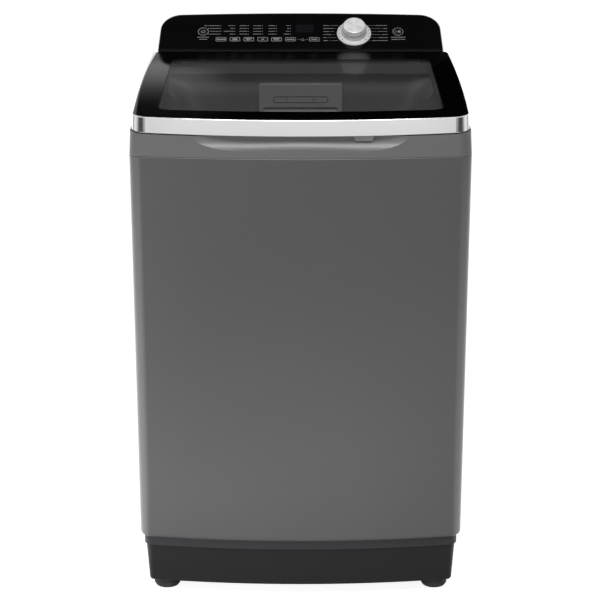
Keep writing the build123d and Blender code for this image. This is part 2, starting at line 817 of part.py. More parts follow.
def control_board_piece():
    """Circuit board with one switch behind each key, the dial encoder and the display block."""
    width = 2 * (panel_bottom_half - board_inset)
    spot = Pos(0, board_length / 2 + 8, -board_depth - board_thickness)
    board = spot * Box(width, board_length, board_thickness, align=LOW)
    rise = board_depth - 11 - key_travel - 0.3
    for x in key_places:
        board = board + Pos(x, key_row, -board_depth) * Box(8, 8, rise, align=LOW)
    for side in (-1, 1):
        board = board + Pos(side * round_key_offset, round_key_row, -board_depth) * Box(8, 8, rise, align=LOW)
    encoder = Pos(knob_offset, knob_row, -board_depth)
    board = board + encoder * Box(15, 15, 7, align=LOW)
    board = board + encoder * Cylinder(5.5, board_depth - 0.6, align=LOW)
    width = display_right - display_left
    height = display_high - display_low
    spot = Pos((display_left + display_right) / 2, (display_low + display_high) / 2, -board_depth)
    board = board + spot * Box(width, height, board_depth - fascia_thickness - 2.0, align=LOW)
    board = board - encoder * Cylinder(shaft_radius + run_clearance, board_depth + 1, align=LOW)
    return panel_plane * board


def dial_ring_piece():
    """Pale ring under the knob with a small lamp dimple on each programme row."""
    profile = Polygon((18, 0), (dial_radius, 0), (dial_radius, 1.2), (dial_radius - 1.2, 2.4),
                      (knob_radius + 1.5, dial_height), (18, dial_height), align=None)
    ring = revolve(Plane.XZ * profile, Axis.Z)
    for row in dial_rows:
        rise = row - knob_row
        reach = sqrt(lamp_radius**2 - rise**2)
        for side in (-1, 1):
            ring = ring - Pos(side * reach, rise, 2.0) * Cylinder(1.3, 5, align=LOW)
    return panel_plane * Pos(knob_offset, knob_row) * ring


def program_knob_piece():
    """Fluted dial knob with a dished cap, on its shaft."""
    low = dial_height + 0.5
    profile = Polygon((0, low), (knob_radius, low), (knob_radius, low + 3),
                      (knob_top_radius, knob_height - 1.3), (knob_top_radius - 1.3, knob_height),
                      (knob_top_radius - 3.5, knob_height), (knob_top_radius - 4.5, knob_height - 0.9),
                      (0, knob_height - 1.5), align=None)
    knob = revolve(Plane.XZ * profile, Axis.Z)
    flutes = []
    for index in range(knob_flutes):
        turn = Rot(0, 0, 360.0 * index / knob_flutes)
        flutes.append(turn * Pos(knob_radius + 0.4, 0, low + 3.6) * Cylinder(1.3, knob_height, align=LOW))
    knob = knob - flutes
    knob = knob + Pos(0, 0, 1.5 - board_depth) * Cylinder(shaft_radius, board_depth + 5, align=LOW)
    return panel_plane * Pos(knob_offset, knob_row) * knob


y_face = mouth_rear - 0.3
y_drawer_end = mouth_rear + drawer_depth


def detergent_drawer_piece():
    """Two-chamber tray with a rounded front, finger groove and a raised label frame."""
    reach = drawer_face_width / 2
    face = box(-reach, reach, y_face - drawer_face, y_face, z_face_low, z_face_top)
    face = fillet(face.edges().filter_by(Axis.Y), 5)
    front = face.faces().sort_by(Axis.Y)[0]
    face = fillet(front.edges(), 3)
    half = drawer_width / 2
    tray = box(-half, half, y_face - 2, y_drawer_end, z_drawer_low, z_drawer_top)
    tray = fillet(tray.edges().filter_by(Axis.Z).sort_by(Axis.Y)[-2:], 12)
    drawer = face + tray
    parting = half * 0.18
    back = y_drawer_end - drawer_wall
    for x0, x1 in ((-half + drawer_wall, parting), (parting + drawer_wall, half - drawer_wall)):
        room = box(x0, x1, y_face + drawer_wall, back, z_drawer_low + drawer_wall, z_drawer_top + 5)
        room = fillet(room.edges().filter_by(Axis.Z), 9)
        drawer = drawer - room
    y_front = y_face - drawer_face
    groove = rod_x(5.5, -reach + 14, reach - 14, y_front - 0.5, z_face_low + 6.5)
    for side in (-1, 1):
        groove = groove + Pos(side * (reach - 14), y_front - 0.5, z_face_low + 6.5) * Sphere(5.5)
    drawer = drawer - groove
    label_plane = Plane(origin=(0, y_front, z_face_low + 27.5), x_dir=(1, 0, 0), z_dir=(0, -1, 0))
    label = slab(SlotOverall(110, 13), -1, 0.7) - slab(SlotOverall(107, 10), -2, 2)
    for x in (-27, 24.5, 29.5):
        label = label + slab(Pos(x, 0) * RectangleRounded(1.6, 6, 0.7), -1, 0.7)
    siphon = Pos(half * 0.62, y_drawer_end - 24, z_drawer_low) * Cylinder(5, 26, align=LOW)
    return drawer + label_plane * label + siphon


def softener_cap_piece():
    """Cap that stands over the softener pipe and makes it siphon."""
    low = z_drawer_low + drawer_wall
    cap = Pos(0, 0, low) * Cylinder(9, 32, align=LOW)
    cap = fillet(cap.edges().group_by(Axis.Z)[-1], 3)
    cap = cap - Pos(0, 0, low - 1) * Cylinder(7.2, 31, align=LOW)
    cap = cap - Pos(0, 0, low + 2) * Box(30, 4, 8)
    return Pos(drawer_width / 2 * 0.62, y_drawer_end - 24, 0) * cap


def dispenser_housing_piece():
    """Drawer box behind the mouth wall with a spout over the drum and a jet plate on top."""
    wall = 2.5
    inner = drawer_width / 2 + drawer_clearance
    y0 = mouth_rear + cover_wall
    y1 = y_drawer_end + 4
    z0 = z_drawer_low - drawer_clearance
    z1 = z_drawer_top + drawer_clearance
    body = box(-inner - wall, inner + wall, y0, y1 + wall, z0 - wall, z1 + wall)
    flange = box(-inner - 9, inner + 9, y0, y0 + 3, z0 - 9, z1 + 9)
    spout = Pos(0, y0 + 16, z0 - wall - 14) * Cylinder(12, 16, align=LOW)
    body = body + flange + spout - box(-inner, inner, y0 - 1, y1, z0, z1)
    body = body - Pos(0, y0 + 16, z0 - 40) * Cylinder(9.5, 45, align=LOW)
    ribs = []
    for step in (1, 2, 3, 4):
        y = y0 + drawer_depth * step / 5
        ribs.append(box(-inner, inner, y, y + 2, z1 + wall, z1 + wall + 5))
    return joined([body] + ribs)


def inlet_valve_piece():
    """Water valve: threaded spigot in the rear pocket, coil block, outlet to the dispenser."""
    pocket_y = y_rear - pocket_depth
    inside = pocket_y - cover_wall
    body = rod_y(18, inlet_offset, inside - 5, inside, z_inlet)
    body = body + rod_y(inlet_radius - 0.4, inlet_offset, inside - 1, pocket_y + 0.5, z_inlet)
    body = body + rod_y(inlet_radius, inlet_offset, pocket_y + 0.5, pocket_y + 0.5 + inlet_length, z_inlet)
    body = body + rod_y(14, inlet_offset, inside - 34, inside - 4, z_inlet)
    coil = box(inlet_offset - 14, inlet_offset + 14, inside - 34, inside - 8, z_inlet - 34, z_inlet - 4)
    body = body + fillet(coil.edges().filter_by(Axis.Z), 4)
    reach = drawer_width / 2 + drawer_clearance + 2.5
    body = body + rod_x(7, reach, inlet_offset, inside - 22, z_inlet)
    return body - rod_y(inlet_radius - 3, inlet_offset, inside - 8, y_rear, z_inlet)


z_tub_top = z_top - tub_headroom
z_tub_floor = z_cabinet + drive_room
z_tub_low = z_tub_floor - tub_floor
z_lug = z_tub_floor + lug_height
lug_thickness = 12.0
z_lug_low = z_lug - lug_thickness
hub_radius = 36.0
rib_depth = 18.0
valve_turn = 120.0
valve_reach = tub_radius - valve_inset
tub_outside = tub_radius + tub_wall


def tub_lug(reach):
    """Hanging lug that reaches out from the tub wall, with two webs and a bore for its rod."""
    length = reach - tub_outside + 8
    lug = Pos(reach - length / 2, 0, z_lug_low) * Box(length, 46, lug_thickness, align=LOW)
    lug = lug + Pos(reach, 0, z_lug_low) * Cylinder(lug_radius, lug_thickness, align=LOW)
    for side in (-1, 1):
        web = Polygon((tub_outside - 2, z_lug - 1), (reach - 26, z_lug - 1), (tub_outside - 2, z_lug + 46),
                      align=None)
        lug = lug + Pos(0, side * 20 + 2, 0) * extrude(Plane.XZ * web, amount=4)
    return lug - Pos(reach, 0, z_lug_low - 5) * Cylinder(rod_radius + rod_clearance, 40, align=LOW)


def outer_tub_piece():
    """Ribbed water tub with a rolled rim, hub opening, drain hole and four hanging lugs."""
    outside = tub_outside
    tub = turned((hub_radius, z_tub_low), (outside, z_tub_low), (outside, z_tub_top - 8),
                 (outside + tub_rim, z_tub_top - 8), (outside + tub_rim, z_tub_top), (tub_radius, z_tub_top),
                 (tub_radius, z_tub_floor), (hub_radius, z_tub_floor))
    sharp = tub.edges().filter_by(lambda e: e.geom_type == GeomType.CIRCLE)
    low = sharp.filter_by(lambda e: abs(e.radius - outside) < 0.01 and e.center().Z < z_tub_floor)
    tub = fillet(low, 22)
    sharp = tub.edges().filter_by(lambda e: e.geom_type == GeomType.CIRCLE)
    low = sharp.filter_by(lambda e: abs(e.radius - tub_radius) < 0.01 and e.center().Z < z_tub_floor + 1)
    tub = fillet(low, 19)
    reach = outside - 26
    middle = (hub_radius + 62 + reach) / 2
    rib = Pos(middle, 0, z_tub_low - rib_depth) * Box(reach - hub_radius - 62, 4, rib_depth + 2, align=LOW)
    ribs = around(12, rib, 15)
    hoop = tube(reach + 3, reach - 2, z_tub_low - rib_depth, z_tub_low + 1)
    tub = joined([tub, hoop] + ribs)
    for x, y in rod_places:
        turn = Rot(0, 0, degrees(atan2(y - drum_y, x)))
        tub = tub + Pos(0, drum_y, 0) * turn * tub_lug(hypot(x, y - drum_y))
    seat = Pos(valve_reach, 0, z_tub_low - 40) * Cylinder(valve_radius + 1.5, 40 - 0.01, align=LOW)
    drain = Pos(valve_reach, 0, z_tub_low - 40) * Cylinder(valve_bore, 60, align=LOW)
    return tub - around(1, seat, valve_turn)[0] - around(1, drain, valve_turn)[0]


def tub_cover_piece():
    """Splash ring clipped over the tub rim."""
    outside = tub_outside + tub_rim
    inside = ring_inner_radius + 4
    return turned((inside, z_tub_top - 4), (inside + 2.5, z_tub_top - 4), (inside + 2.5, z_tub_top + 9),
                  (tub_radius - 12, z_tub_top + 6), (tub_radius - 6, z_tub_top),
                  (outside + 0.3, z_tub_top), (outside + 0.3, z_tub_top - 8), (outside + 2.8, z_tub_top - 8),
                  (outside + 2.8, z_tub_top + 2.5), (tub_radius - 4, z_tub_top + 2.5),
                  (tub_radius - 10, z_tub_top + 9), (inside + 6, z_tub_top + 14), (inside, z_tub_top + 14))


bearing_radius = 26.0
bearing_width = 15.0
seal_height = 7.0
z_seal_top = z_tub_floor + 2.0
z_upper_bearing = z_seal_top - seal_height - bearing_width
z_rotor = z_cabinet + 24.0
z_stator_low = z_rotor + 12.0
z_stator_top = z_stator_low + stator_stack
stator_tip = rotor_radius - rotor_wall - magnet_thickness - air_gap
yoke_inner = 60.0
yoke_outer = 78.0


def bearing_housing_piece():
    """Cast bearing carrier: wide ribbed flange under the tub, barrel, stator flange below."""
    low = z_stator_low - 4
    barrel = 35.0
    body = turned((bearing_radius, low), (barrel, low), (barrel, z_stator_top), (yoke_outer, z_stator_top),
                  (yoke_outer, z_stator_top + 7), (barrel, z_stator_top + 9), (barrel, z_tub_low - 10),
                  (92, z_tub_low - 10), (92, z_tub_low), (barrel + 0.7, z_tub_low),
                  (barrel + 0.7, z_seal_top), (bearing_radius, z_seal_top), (bearing_radius, z_upper_bearing),
                  (bearing_radius - 5, z_upper_bearing), (bearing_radius - 5, low + bearing_width + 2),
                  (bearing_radius, low + bearing_width + 2))
    height = z_tub_low - 9 - z_stator_top - 6
    rib = Pos((barrel + 74) / 2, 0, z_stator_top + 6) * Box(74 - barrel + 2, 6, height, align=LOW)
    return joined([body] + around(6, rib))


def bearing_ring(low):
    """Ball bearing: inner and outer race with balls between them."""
    inner = spin_tube_radius + run_clearance
    middle = (inner + bearing_radius) / 2
    outer_race = tube(bearing_radius, middle + 2.2, low, low + bearing_width)
    inner_race = tube(middle - 2.2, inner, low, low + bearing_width)
    balls = around(9, Pos(middle, 0, low + bearing_width / 2) * Sphere(2.2))
    return [outer_race, inner_race] + balls


def shaft_bearings_piece():
    """Upper and lower bearing of the spin tube."""
    low = z_stator_low - 4
    return Compound(children=bearing_ring(low + 2) + bearing_ring(z_upper_bearing))


def tub_seal_piece():
    """Lip seal over the upper bearing."""
    low = z_seal_top - seal_height
    inner = spin_tube_radius + run_clearance
    return turned((inner + 3, low), (bearing_radius, low), (bearing_radius, z_seal_top),
                  (inner + 6, z_seal_top), (inner, low + 4), (inner, low + 2))


def stator_core_piece():
    """Laminated stator: yoke with T-shaped teeth."""
    yoke = tube(yoke_outer, yoke_inner, z_stator_low, z_stator_top)
    length = stator_tip - yoke_outer
    tooth = Pos(yoke_outer + length / 2 - 1, 0, z_stator_low) * Box(length, 6.5, stator_stack, align=LOW)
    head = tube(stator_tip, stator_tip - 3.5, z_stator_low, z_stator_top)
    width = 2 * pi * stator_tip / motor_poles
    wedge = Pos(stator_tip, 0, z_stator_low - 1) * Box(20, width - 4, stator_stack + 2, align=LOW)
    heads = joined(around(motor_poles, wedge)) & head
    return joined([yoke] + around(motor_poles, tooth)) + heads


def stator_coils_piece():
    """One winding round each tooth."""
    length = stator_tip - yoke_outer - 8
    spot = Pos(yoke_outer + 2.5 + length / 2, 0, z_stator_low + stator_stack / 2)
    coil = Box(length, 12, stator_stack + 6)
    coil = fillet(coil.edges().filter_by(Axis.X), 3)
    coil = coil - Box(length + 2, 6.7, stator_stack + 0.2)
    return Compound(children=around(motor_poles, spot * coil))


def rotor_cup_piece():
    """Pressed rotor: hub, vented floor, magnet wall."""
    low = z_rotor
    inside = rotor_radius - rotor_wall
    cup = turned((wash_shaft_radius, low), (rotor_radius - 6, low), (rotor_radius, low + 6),
                 (rotor_radius, low + rotor_depth), (inside, low + rotor_depth), (inside, low + 6),
                 (inside - 4, low + rotor_wall), (28, low + rotor_wall), (22, low + 7),
                 (wash_shaft_radius, low + 7))
    vent = Pos(72, 0, low - 1) * extrude(SlotOverall(52, 13), amount=rotor_wall + 2)
    return cup - around(12, vent)


def rotor_magnets_piece():
    """Curved magnets bonded inside the rotor wall."""
    inside = rotor_radius - rotor_wall
    height = stator_stack + 6
    ring = Cylinder(inside, height, align=LOW) - Cylinder(inside - magnet_thickness, height, align=LOW)
    width = 2 * pi * inside / motor_poles - 2
    piece = Pos(0, 0, z_stator_low - 3) * (ring & Pos(inside, 0, 0) * Box(40, width, height, align=LOW))
    return Compound(children=around(motor_poles, piece))


z_basket = z_tub_floor + basket_floor_gap
z_pulsator = z_basket + 9.0
z_ring_top = z_tub_top - 8.0
z_ring_low = z_ring_top - ring_height


def wash_shaft_piece():
    """Inner shaft from rotor to pulsator."""
    low = z_rotor - 6
    return turned((0, low), (wash_shaft_radius - 1, low), (wash_shaft_radius, low + 1),
                  (wash_shaft_radius, z_pulsator + 14), (0, z_pulsator + 14))


def spin_tube_piece():
    """Hollow shaft that carries the basket."""
    inner = wash_shaft_radius + run_clearance
    low = z_stator_low - 3
    return turned((inner, low), (spin_tube_radius, low), (spin_tube_radius, z_basket - 18),
                  (24, z_basket - 18), (24, z_basket - 14), (inner, z_basket - 14))


def basket_flange_piece():
    """Three-armed carrier between spin tube and basket floor."""
    hub = tube(44, wash_shaft_radius + 3, z_basket - 14, z_basket)
    end = basket_radius - 18
    arm = Pos((end + 35) / 2, 0, z_basket - 12) * Box(end - 35, 52, 12, align=LOW)
    groove = Pos((end + 45) / 2, 0, z_basket - 13) * Box(end - 65, 36, 8, align=LOW)
    bore = tube(wash_shaft_radius + 3, 0, z_basket - 20, z_basket + 5)
    return joined([hub] + around(3, arm - groove, 30)) - bore


def basket_base_piece():
    """Dished basket floor with a turned-up edge."""
    inside = basket_radius - basket_wall_thickness
    return turned((30, z_basket), (inside - 6, z_basket), (inside, z_basket + 6), (inside, z_basket + 26),
                  (inside - 2, z_basket + 26), (inside - 2, z_basket + 8), (inside - 8, z_basket + 3),
                  (30, z_basket + 3))


def basket_wall_piece():
    """Rolled drum wall."""
    inside = basket_radius - basket_wall_thickness
    return tube(basket_radius, inside, z_basket - 4, z_ring_low + ring_grip)


def balance_ring_piece():
    """Brine-filled balance ring gripping the top of the drum wall."""
    ring = turned((ring_inner_radius + 8, z_ring_low), (ring_outer_radius - 3, z_ring_low),
                  (ring_outer_radius, z_ring_low + 4), (ring_outer_radius, z_ring_top - 14),
                  (ring_outer_radius - 12, z_ring_top), (ring_inner_radius + 14, z_ring_top),
                  (ring_inner_radius, z_ring_top - 16), (ring_inner_radius, z_ring_low + 14))
    inside = basket_radius - basket_wall_thickness
    return ring - tube(basket_radius, inside, z_ring_low - 1, z_ring_low + ring_grip)


def lint_filters_piece():
    """Two curved filter frames on the drum wall."""
    inside = basket_radius - basket_wall_thickness
    middle = (z_basket + z_ring_low) / 2 + 20
    shell = Pos(0, 0, middle) * (Cylinder(inside, filter_height) - Cylinder(inside - 9, filter_height))
    frame = shell & Pos(inside, 0, middle) * Box(80, filter_width, filter_height)
    for row in (-1.5, -0.5, 0.5, 1.5):
        spot = Pos(inside - 9, 0, middle + row * (filter_height / 4 - 8.5))
        frame = frame - spot * Box(10, filter_width - 22, filter_height / 4 - 18.5)
    return Compound(children=around(2, frame))


def pulsator_piece():
    """Dished pulsator with a centre dome and curved, tapering vanes."""
    rise = 14.0
    low = z_pulsator
    edge = pulsator_radius
    disc = turned((wash_shaft_radius, low - 5), (20, low - 5), (24, low), (edge - 8, low), (edge, low + 9),
                  (edge, low + 13), (edge - 4, low + 14), (edge - 16, low + 6), (60, low + 9), (34, low + 30),
                  (14, low + 36), (14, low + 26), (9, low + 26), (9, low + rise),
                  (wash_shaft_radius, low + rise))
    tip = edge - vane_margin
    with BuildSketch() as leaf:
        with BuildLine():
            Spline((30, -9), (tip - 68, 8), (tip, 2), tangents=((1, 0.5), (1, -0.5)))
            Spline((tip, 2), (tip - 62, 34), (30, 13), tangents=((-0.6, 0.9), (-1, -0.5)))
            Line((30, 13), (30, -9))
        make_face()
    vane = extrude(Pos(0, 0, z_pulsator + 5) * leaf.sketch, amount=27, taper=14)
    slope_cut = Pos(0, 0, z_pulsator + 36) * Rot(0, 10, 0) * Box(500, 500, 200, align=LOW)
    vane = vane - slope_cut
    return joined([disc] + around(pulsator_vanes, vane))


def pulsator_screw_piece():
    """Centre screw of the pulsator."""
    low = z_pulsator + 14
    return turned((0, low), (5, low), (5, low + 12), (8.4, low + 12), (8.4, low + 17), (6.5, low + 19),
                  (4, low + 19), (4, low + 15), (0, low + 15))


def drain_valve_piece():
    """Drain valve under the tub floor with its pull motor."""
    drop = rib_depth + 16.0
    body = Pos(valve_reach, 0, z_tub_low - drop - 18) * Cylinder(valve_radius, drop + 18, align=LOW)
    body = body - Pos(valve_reach, 0, z_tub_low - drop) * Cylinder(valve_bore, drop + 20, align=LOW)
    pipe = Pos(valve_reach, -34, z_tub_low - drop) * Rot(90, 0, 0) * Cylinder(14, 40)
    pipe = pipe - Pos(valve_reach, -44, z_tub_low - drop) * Rot(90, 0, 0) * Cylinder(11, 40)
    motor = Pos(valve_reach, 48, z_tub_low - rib_depth - 3) * Box(38, 56, 32, align=HIGH)
    motor = fillet(motor.edges().filter_by(Axis.Y), 6)
    arm = Pos(valve_reach, 20, z_tub_low - drop) * Box(8, 20, 8)
    return around(1, body + pipe + motor + arm, valve_turn)[0]


z_bracket = z_top - bracket_drop
z_seat = z_lug_low - seat_drop
ball_radius = 9.0


def suspension_rods_piece():
    """Four hanging rods: ball head above, spring seat below."""
    rods = []
    lift = sqrt(ball_radius**2 - (rod_radius + 2) ** 2) + 0.2
    for x, y in rod_places:
        rod = Pos(x, y, z_seat - 12) * Cylinder(rod_radius, z_bracket + lift - z_seat + 12, align=LOW)
        rod = rod + Pos(x, y, z_bracket + lift) * Sphere(ball_radius)
        rod = rod + Pos(x, y, z_seat - 5) * Cylinder(seat_radius, 5, align=LOW)
        rods.append(rod + Pos(x, y, z_seat - 10) * Cylinder(7, 6, align=LOW))
    return Compound(children=rods)


def suspension_springs_piece():
    """Four compression springs between rod seat and damper cup."""
    length = z_lug_low - 3 - z_seat
    path = Helix((length - 2 * spring_wire) / spring_turns, length - 2 * spring_wire, spring_radius)
    start = path @ 0
    section = Plane(origin=start, z_dir=path % 0) * Circle(spring_wire)
    coil = sweep(section, path=path)
    springs = []
    for x, y in rod_places:
        springs.append(Pos(x, y, z_seat + spring_wire) * coil)
    return Compound(children=springs)


def damper_cups_piece():
    """Friction cups under the tub lugs."""
    cups = []
    for x, y in rod_places:
        cup = Cylinder(cup_radius, cup_height, align=HIGH)
        cup = fillet(cup.edges().group_by(Axis.Z)[0], 1.2)
        cup = cup - Pos(0, 0, -3) * Cylinder(cup_radius - 2.5, cup_height, align=HIGH)
        cup = cup - Cylinder(rod_radius + rod_clearance, 20)
        cups.append(Pos(x, y, z_lug_low) * cup)
    return Compound(children=cups)


def corner_brackets_piece():
    """Gussets in the upper casing corners that carry the rods."""
    wall = half_width - sheet
    brackets = []
    for x, y in rod_places:
        side = 1 if x > 0 else -1
        end = 1 if y > drum_y else -1
        far = y + end * 22
        near = y - end * 75
        outline = Polygon((side * wall, near), (side * wall, far), (x - side * 45, far),
                          (x - side * 45, y + end * 8), (side * (wall - 14), near), align=None)
        plate = slab(outline, z_bracket - bracket_sheet, z_bracket)
        middle = Pos(side * (wall - bracket_sheet / 2), (near + far) / 2, z_bracket)
        flange = middle * Box(bracket_sheet, abs(far - near), 30, align=HIGH)
        hole = Pos(x, y, z_bracket - 10) * Cylinder(rod_radius + 2, 20, align=LOW)
        brackets.append(plate + flange - hole)
    return Compound(children=brackets)


pan_outside = rear_inner - pan_depth


def cord_gland_piece():
    """Grommet in the rear panel with a plain bore for a mains lead."""
    y0 = pan_outside - gland_length + 4
    gland = rod_y(gland_bore + 4, gland_offset, y0, pan_outside + 4, z_service)
    gland = gland + rod_y(gland_bore + 7.5, gland_offset, pan_outside, pan_outside + 4, z_service)
    gland = gland + rod_y(gland_bore + 6.5, gland_offset, y0, pan_outside - sheet, z_service)
    return gland - rod_y(gland_bore, gland_offset, y0 - 5, y_rear, z_service)


def drain_outlet_piece():
    """Drain spigot fitted through the rear panel."""
    nose = pan_outside + 3 + drain_length
    outlet = rod_y(drain_radius, drain_offset, pan_outside + 2.5, nose, z_service)
    outlet = outlet + rod_y(drain_radius + 9, drain_offset, pan_outside, pan_outside + 3, z_service)
    outlet = outlet + rod_y(drain_radius + 1, drain_offset, pan_outside - 30, pan_outside + 1, z_service)
    return outlet - rod_y(drain_radius - 3, drain_offset, pan_outside - 40, y_rear + 10, z_service)


def case_screws_piece():
    """Cross-head screws of the rear panel."""
    screws = []
    for x, z in screw_places:
        head = rod_y(screw_head_radius, x, y_case_rear, y_case_rear + screw_head_height, z)
        head = fillet(head.edges().sort_by(Axis.Y)[-1], 1.2)
        shank = rod_y(screw_radius, x, y_case_rear - 9, y_case_rear + 0.5, z)
        cross = box(x - 2.2, x + 2.2, y_case_rear + 1.2, y_case_rear + 4, z - 0.5, z + 0.5)
        cross = cross + box(x - 0.5, x + 0.5, y_case_rear + 1.2, y_case_rear + 4, z - 2.2, z + 2.2)
        screws.append(head + shank - cross)
    return Compound(children=screws)


def rear_feet_piece():
    """Two fixed rear feet."""
    return Compound(children=[foot_piece(x, y) for x, y in rear_foot_places])


pieces = {
    "cabinet_shell": cabinet_shell_piece(),
    "rear_panel": rear_panel_piece(),
    "base_plinth": base_plinth_piece(),
    "rear_feet": rear_feet_piece(),
    "foot_left": foot_piece(*foot_places[0]),
    "foot_right": foot_piece(*foot_places[1]),
    "top_cover": top_cover_piece(),
    "console_housing": console_housing_piece(),
    "control_fascia": control_fascia_piece(),
    "display_lens": display_lens_piece(),
    "control_board": control_board_piece(),
    "dial_ring": dial_ring_piece(),
    "dispenser_housing": dispenser_housing_piece(),
    "inlet_valve": inlet_valve_piece(),
    "lid_lock": lid_lock_piece(),
    "corner_brackets": corner_brackets_piece(),
    "suspension_rods": suspension_rods_piece(),
    "suspension_springs": suspension_springs_piece(),
    "cord_gland": cord_gland_piece(),
    "drain_outlet": drain_outlet_piece(),
    "case_screws": case_screws_piece(),
    "outer_tub": outer_tub_piece(),
    "tub_cover": tub_cover_piece(),
    "bearing_housing": bearing_housing_piece(),
    "shaft_bearings": shaft_bearings_piece(),
    "tub_seal": tub_seal_piece(),
    "stator_core": stator_core_piece(),
    "stator_coils": stator_coils_piece(),
    "drain_valve": drain_valve_piece(),
    "damper_cups": damper_cups_piece(),
    "basket_wall": basket_wall_piece(),
    "basket_base": basket_base_piece(),
    "balance_ring": balance_ring_piece(),
    "basket_flange": basket_flange_piece(),
    "spin_tube": spin_tube_piece(),
    "lint_filters": lint_filters_piece(),
    "pulsator": pulsator_piece(),
    "pulsator_screw": pulsator_screw_piece(),
    "wash_shaft": wash_shaft_piece(),
    "rotor_cup": rotor_cup_piece(),
    "rotor_magnets": rotor_magnets_piece(),
    "lid_frame": lid_frame_piece(),
    "lid_glass": lid_glass_piece(),
    "lid_liner": lid_liner_piece(),
    "hinge_pins": hinge_pins_piece(),
    "latch_tab": latch_tab_piece(),
    "lid_buffers": lid_buffers_piece(),
    "detergent_drawer": detergent_drawer_piece(),
    "softener_cap": softener_cap_piece(),
    "program_knob": program_knob_piece(),
    "power_button": round_key(-round_key_offset),
    "start_button": round_key(round_key_offset),
}
for number, place in enumerate(key_places, start=1):
    pieces[f"key_{number}"] = rectangular_key(place)

os.makedirs("parts", exist_ok=True)
for name, piece in pieces.items():
    export_step(piece, os.path.join("parts", f"{name}.step"))
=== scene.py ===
"""Looks of a top load washing machine: finishes, printed marks, turned knob, wound springs and stage."""
import json
from math import atan2, cos, pi, radians, sin, tan

import bmesh
import bpy
import numpy as np
from bpy.props import FloatProperty, FloatVectorProperty, IntProperty, PointerProperty
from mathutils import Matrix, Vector


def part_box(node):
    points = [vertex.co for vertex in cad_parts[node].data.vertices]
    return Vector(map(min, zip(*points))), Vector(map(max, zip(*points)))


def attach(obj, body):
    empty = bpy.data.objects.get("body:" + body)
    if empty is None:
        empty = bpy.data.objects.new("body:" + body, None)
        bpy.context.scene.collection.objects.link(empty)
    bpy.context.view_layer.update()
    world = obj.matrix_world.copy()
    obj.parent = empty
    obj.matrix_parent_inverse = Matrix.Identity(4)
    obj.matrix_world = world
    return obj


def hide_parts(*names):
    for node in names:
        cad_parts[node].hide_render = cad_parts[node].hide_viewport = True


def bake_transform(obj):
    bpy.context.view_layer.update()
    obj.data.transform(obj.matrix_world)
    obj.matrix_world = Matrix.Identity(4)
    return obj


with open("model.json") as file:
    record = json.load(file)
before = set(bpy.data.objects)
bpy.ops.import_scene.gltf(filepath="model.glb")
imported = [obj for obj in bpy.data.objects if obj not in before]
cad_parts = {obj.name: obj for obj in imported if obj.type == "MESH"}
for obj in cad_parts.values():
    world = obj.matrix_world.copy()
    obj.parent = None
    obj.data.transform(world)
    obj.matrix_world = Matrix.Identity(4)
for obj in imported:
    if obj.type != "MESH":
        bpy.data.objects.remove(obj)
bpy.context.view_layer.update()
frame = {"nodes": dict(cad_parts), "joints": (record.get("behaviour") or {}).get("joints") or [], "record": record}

bl_info = {
    "name": "Top load washing machine",
    "version": (1, 0, 0),
    "blender": (4, 5, 0),
    "location": "View3D > Sidebar > Washer",
    "description": "Dresses the packed frame of a top load washing machine",
    "category": "Object",
}

MM = 0.001

# Places read from the frame
joints = {joint["name"]: joint for joint in frame["joints"]}
slot_of = {row["node"]: row["material_slot"] for row in frame["record"]["subparts"]}
nodes_of = frame["record"]["behaviour"]["bodies"]
body_of = {node: body for body, nodes in nodes_of.items() for node in nodes}
across = np.array([1.0, 0.0, 0.0])
panel_out = np.array(joints["knob_turn"]["axis"], float)
panel_up = np.array([0.0, panel_out[2], -panel_out[1]])
knob_spot = np.array(joints["knob_turn"]["pos_m"], float)
hinge_spot = np.array(joints["lid_hinge"]["pos_m"], float)
drum_spot = np.array(joints["basket_spin"]["pos_m"], float)

# Front edge of the lid's glass and foot of the panel, from which finishes and prints are measured
LID_SLOPE = radians(4.965)
HINGE_ALONG = 466.5 * MM
HINGE_DROP = 12.0 * MM
DIAL_ROW = 49.0 * MM
lid_back = np.array([0.0, cos(LID_SLOPE), sin(LID_SLOPE)])
lid_out = np.array([0.0, -sin(LID_SLOPE), cos(LID_SLOPE)])
lid_front = hinge_spot - HINGE_ALONG * lid_back + HINGE_DROP * lid_out
panel_foot = knob_spot - knob_spot[0] * across - DIAL_ROW * panel_up


def colour(name, text, value):
    """A colour property with its default."""
    limits = {"size": 3, "min": 0, "max": 1}
    return FloatVectorProperty(name=name, description=text, default=value, subtype="COLOR", **limits)


def length(name, text, value):
    """A length property in metres with its default."""
    kind = {"unit": "LENGTH", "subtype": "DISTANCE", "precision": 5}
    return FloatProperty(name=name, description=text, default=value, **kind)


def amount(name, text, value):
    """A plain number property with its default."""
    return FloatProperty(name=name, description=text, default=value, precision=5)


class WasherSizes(bpy.types.PropertyGroup):
    """Sizes of the printed marks and of the knob's grip."""

    ink: length("Ink height", "Height of the print over its ground", 0.06 * MM)
    line: length("Line width", "Width of the printed outlines", 0.45 * MM)
    text_height: length("Text height", "Height of the bars that stand for words", 1.3 * MM)
    flutes: IntProperty(name="Flutes", description="Flutes round the side of the dial knob", default=24)


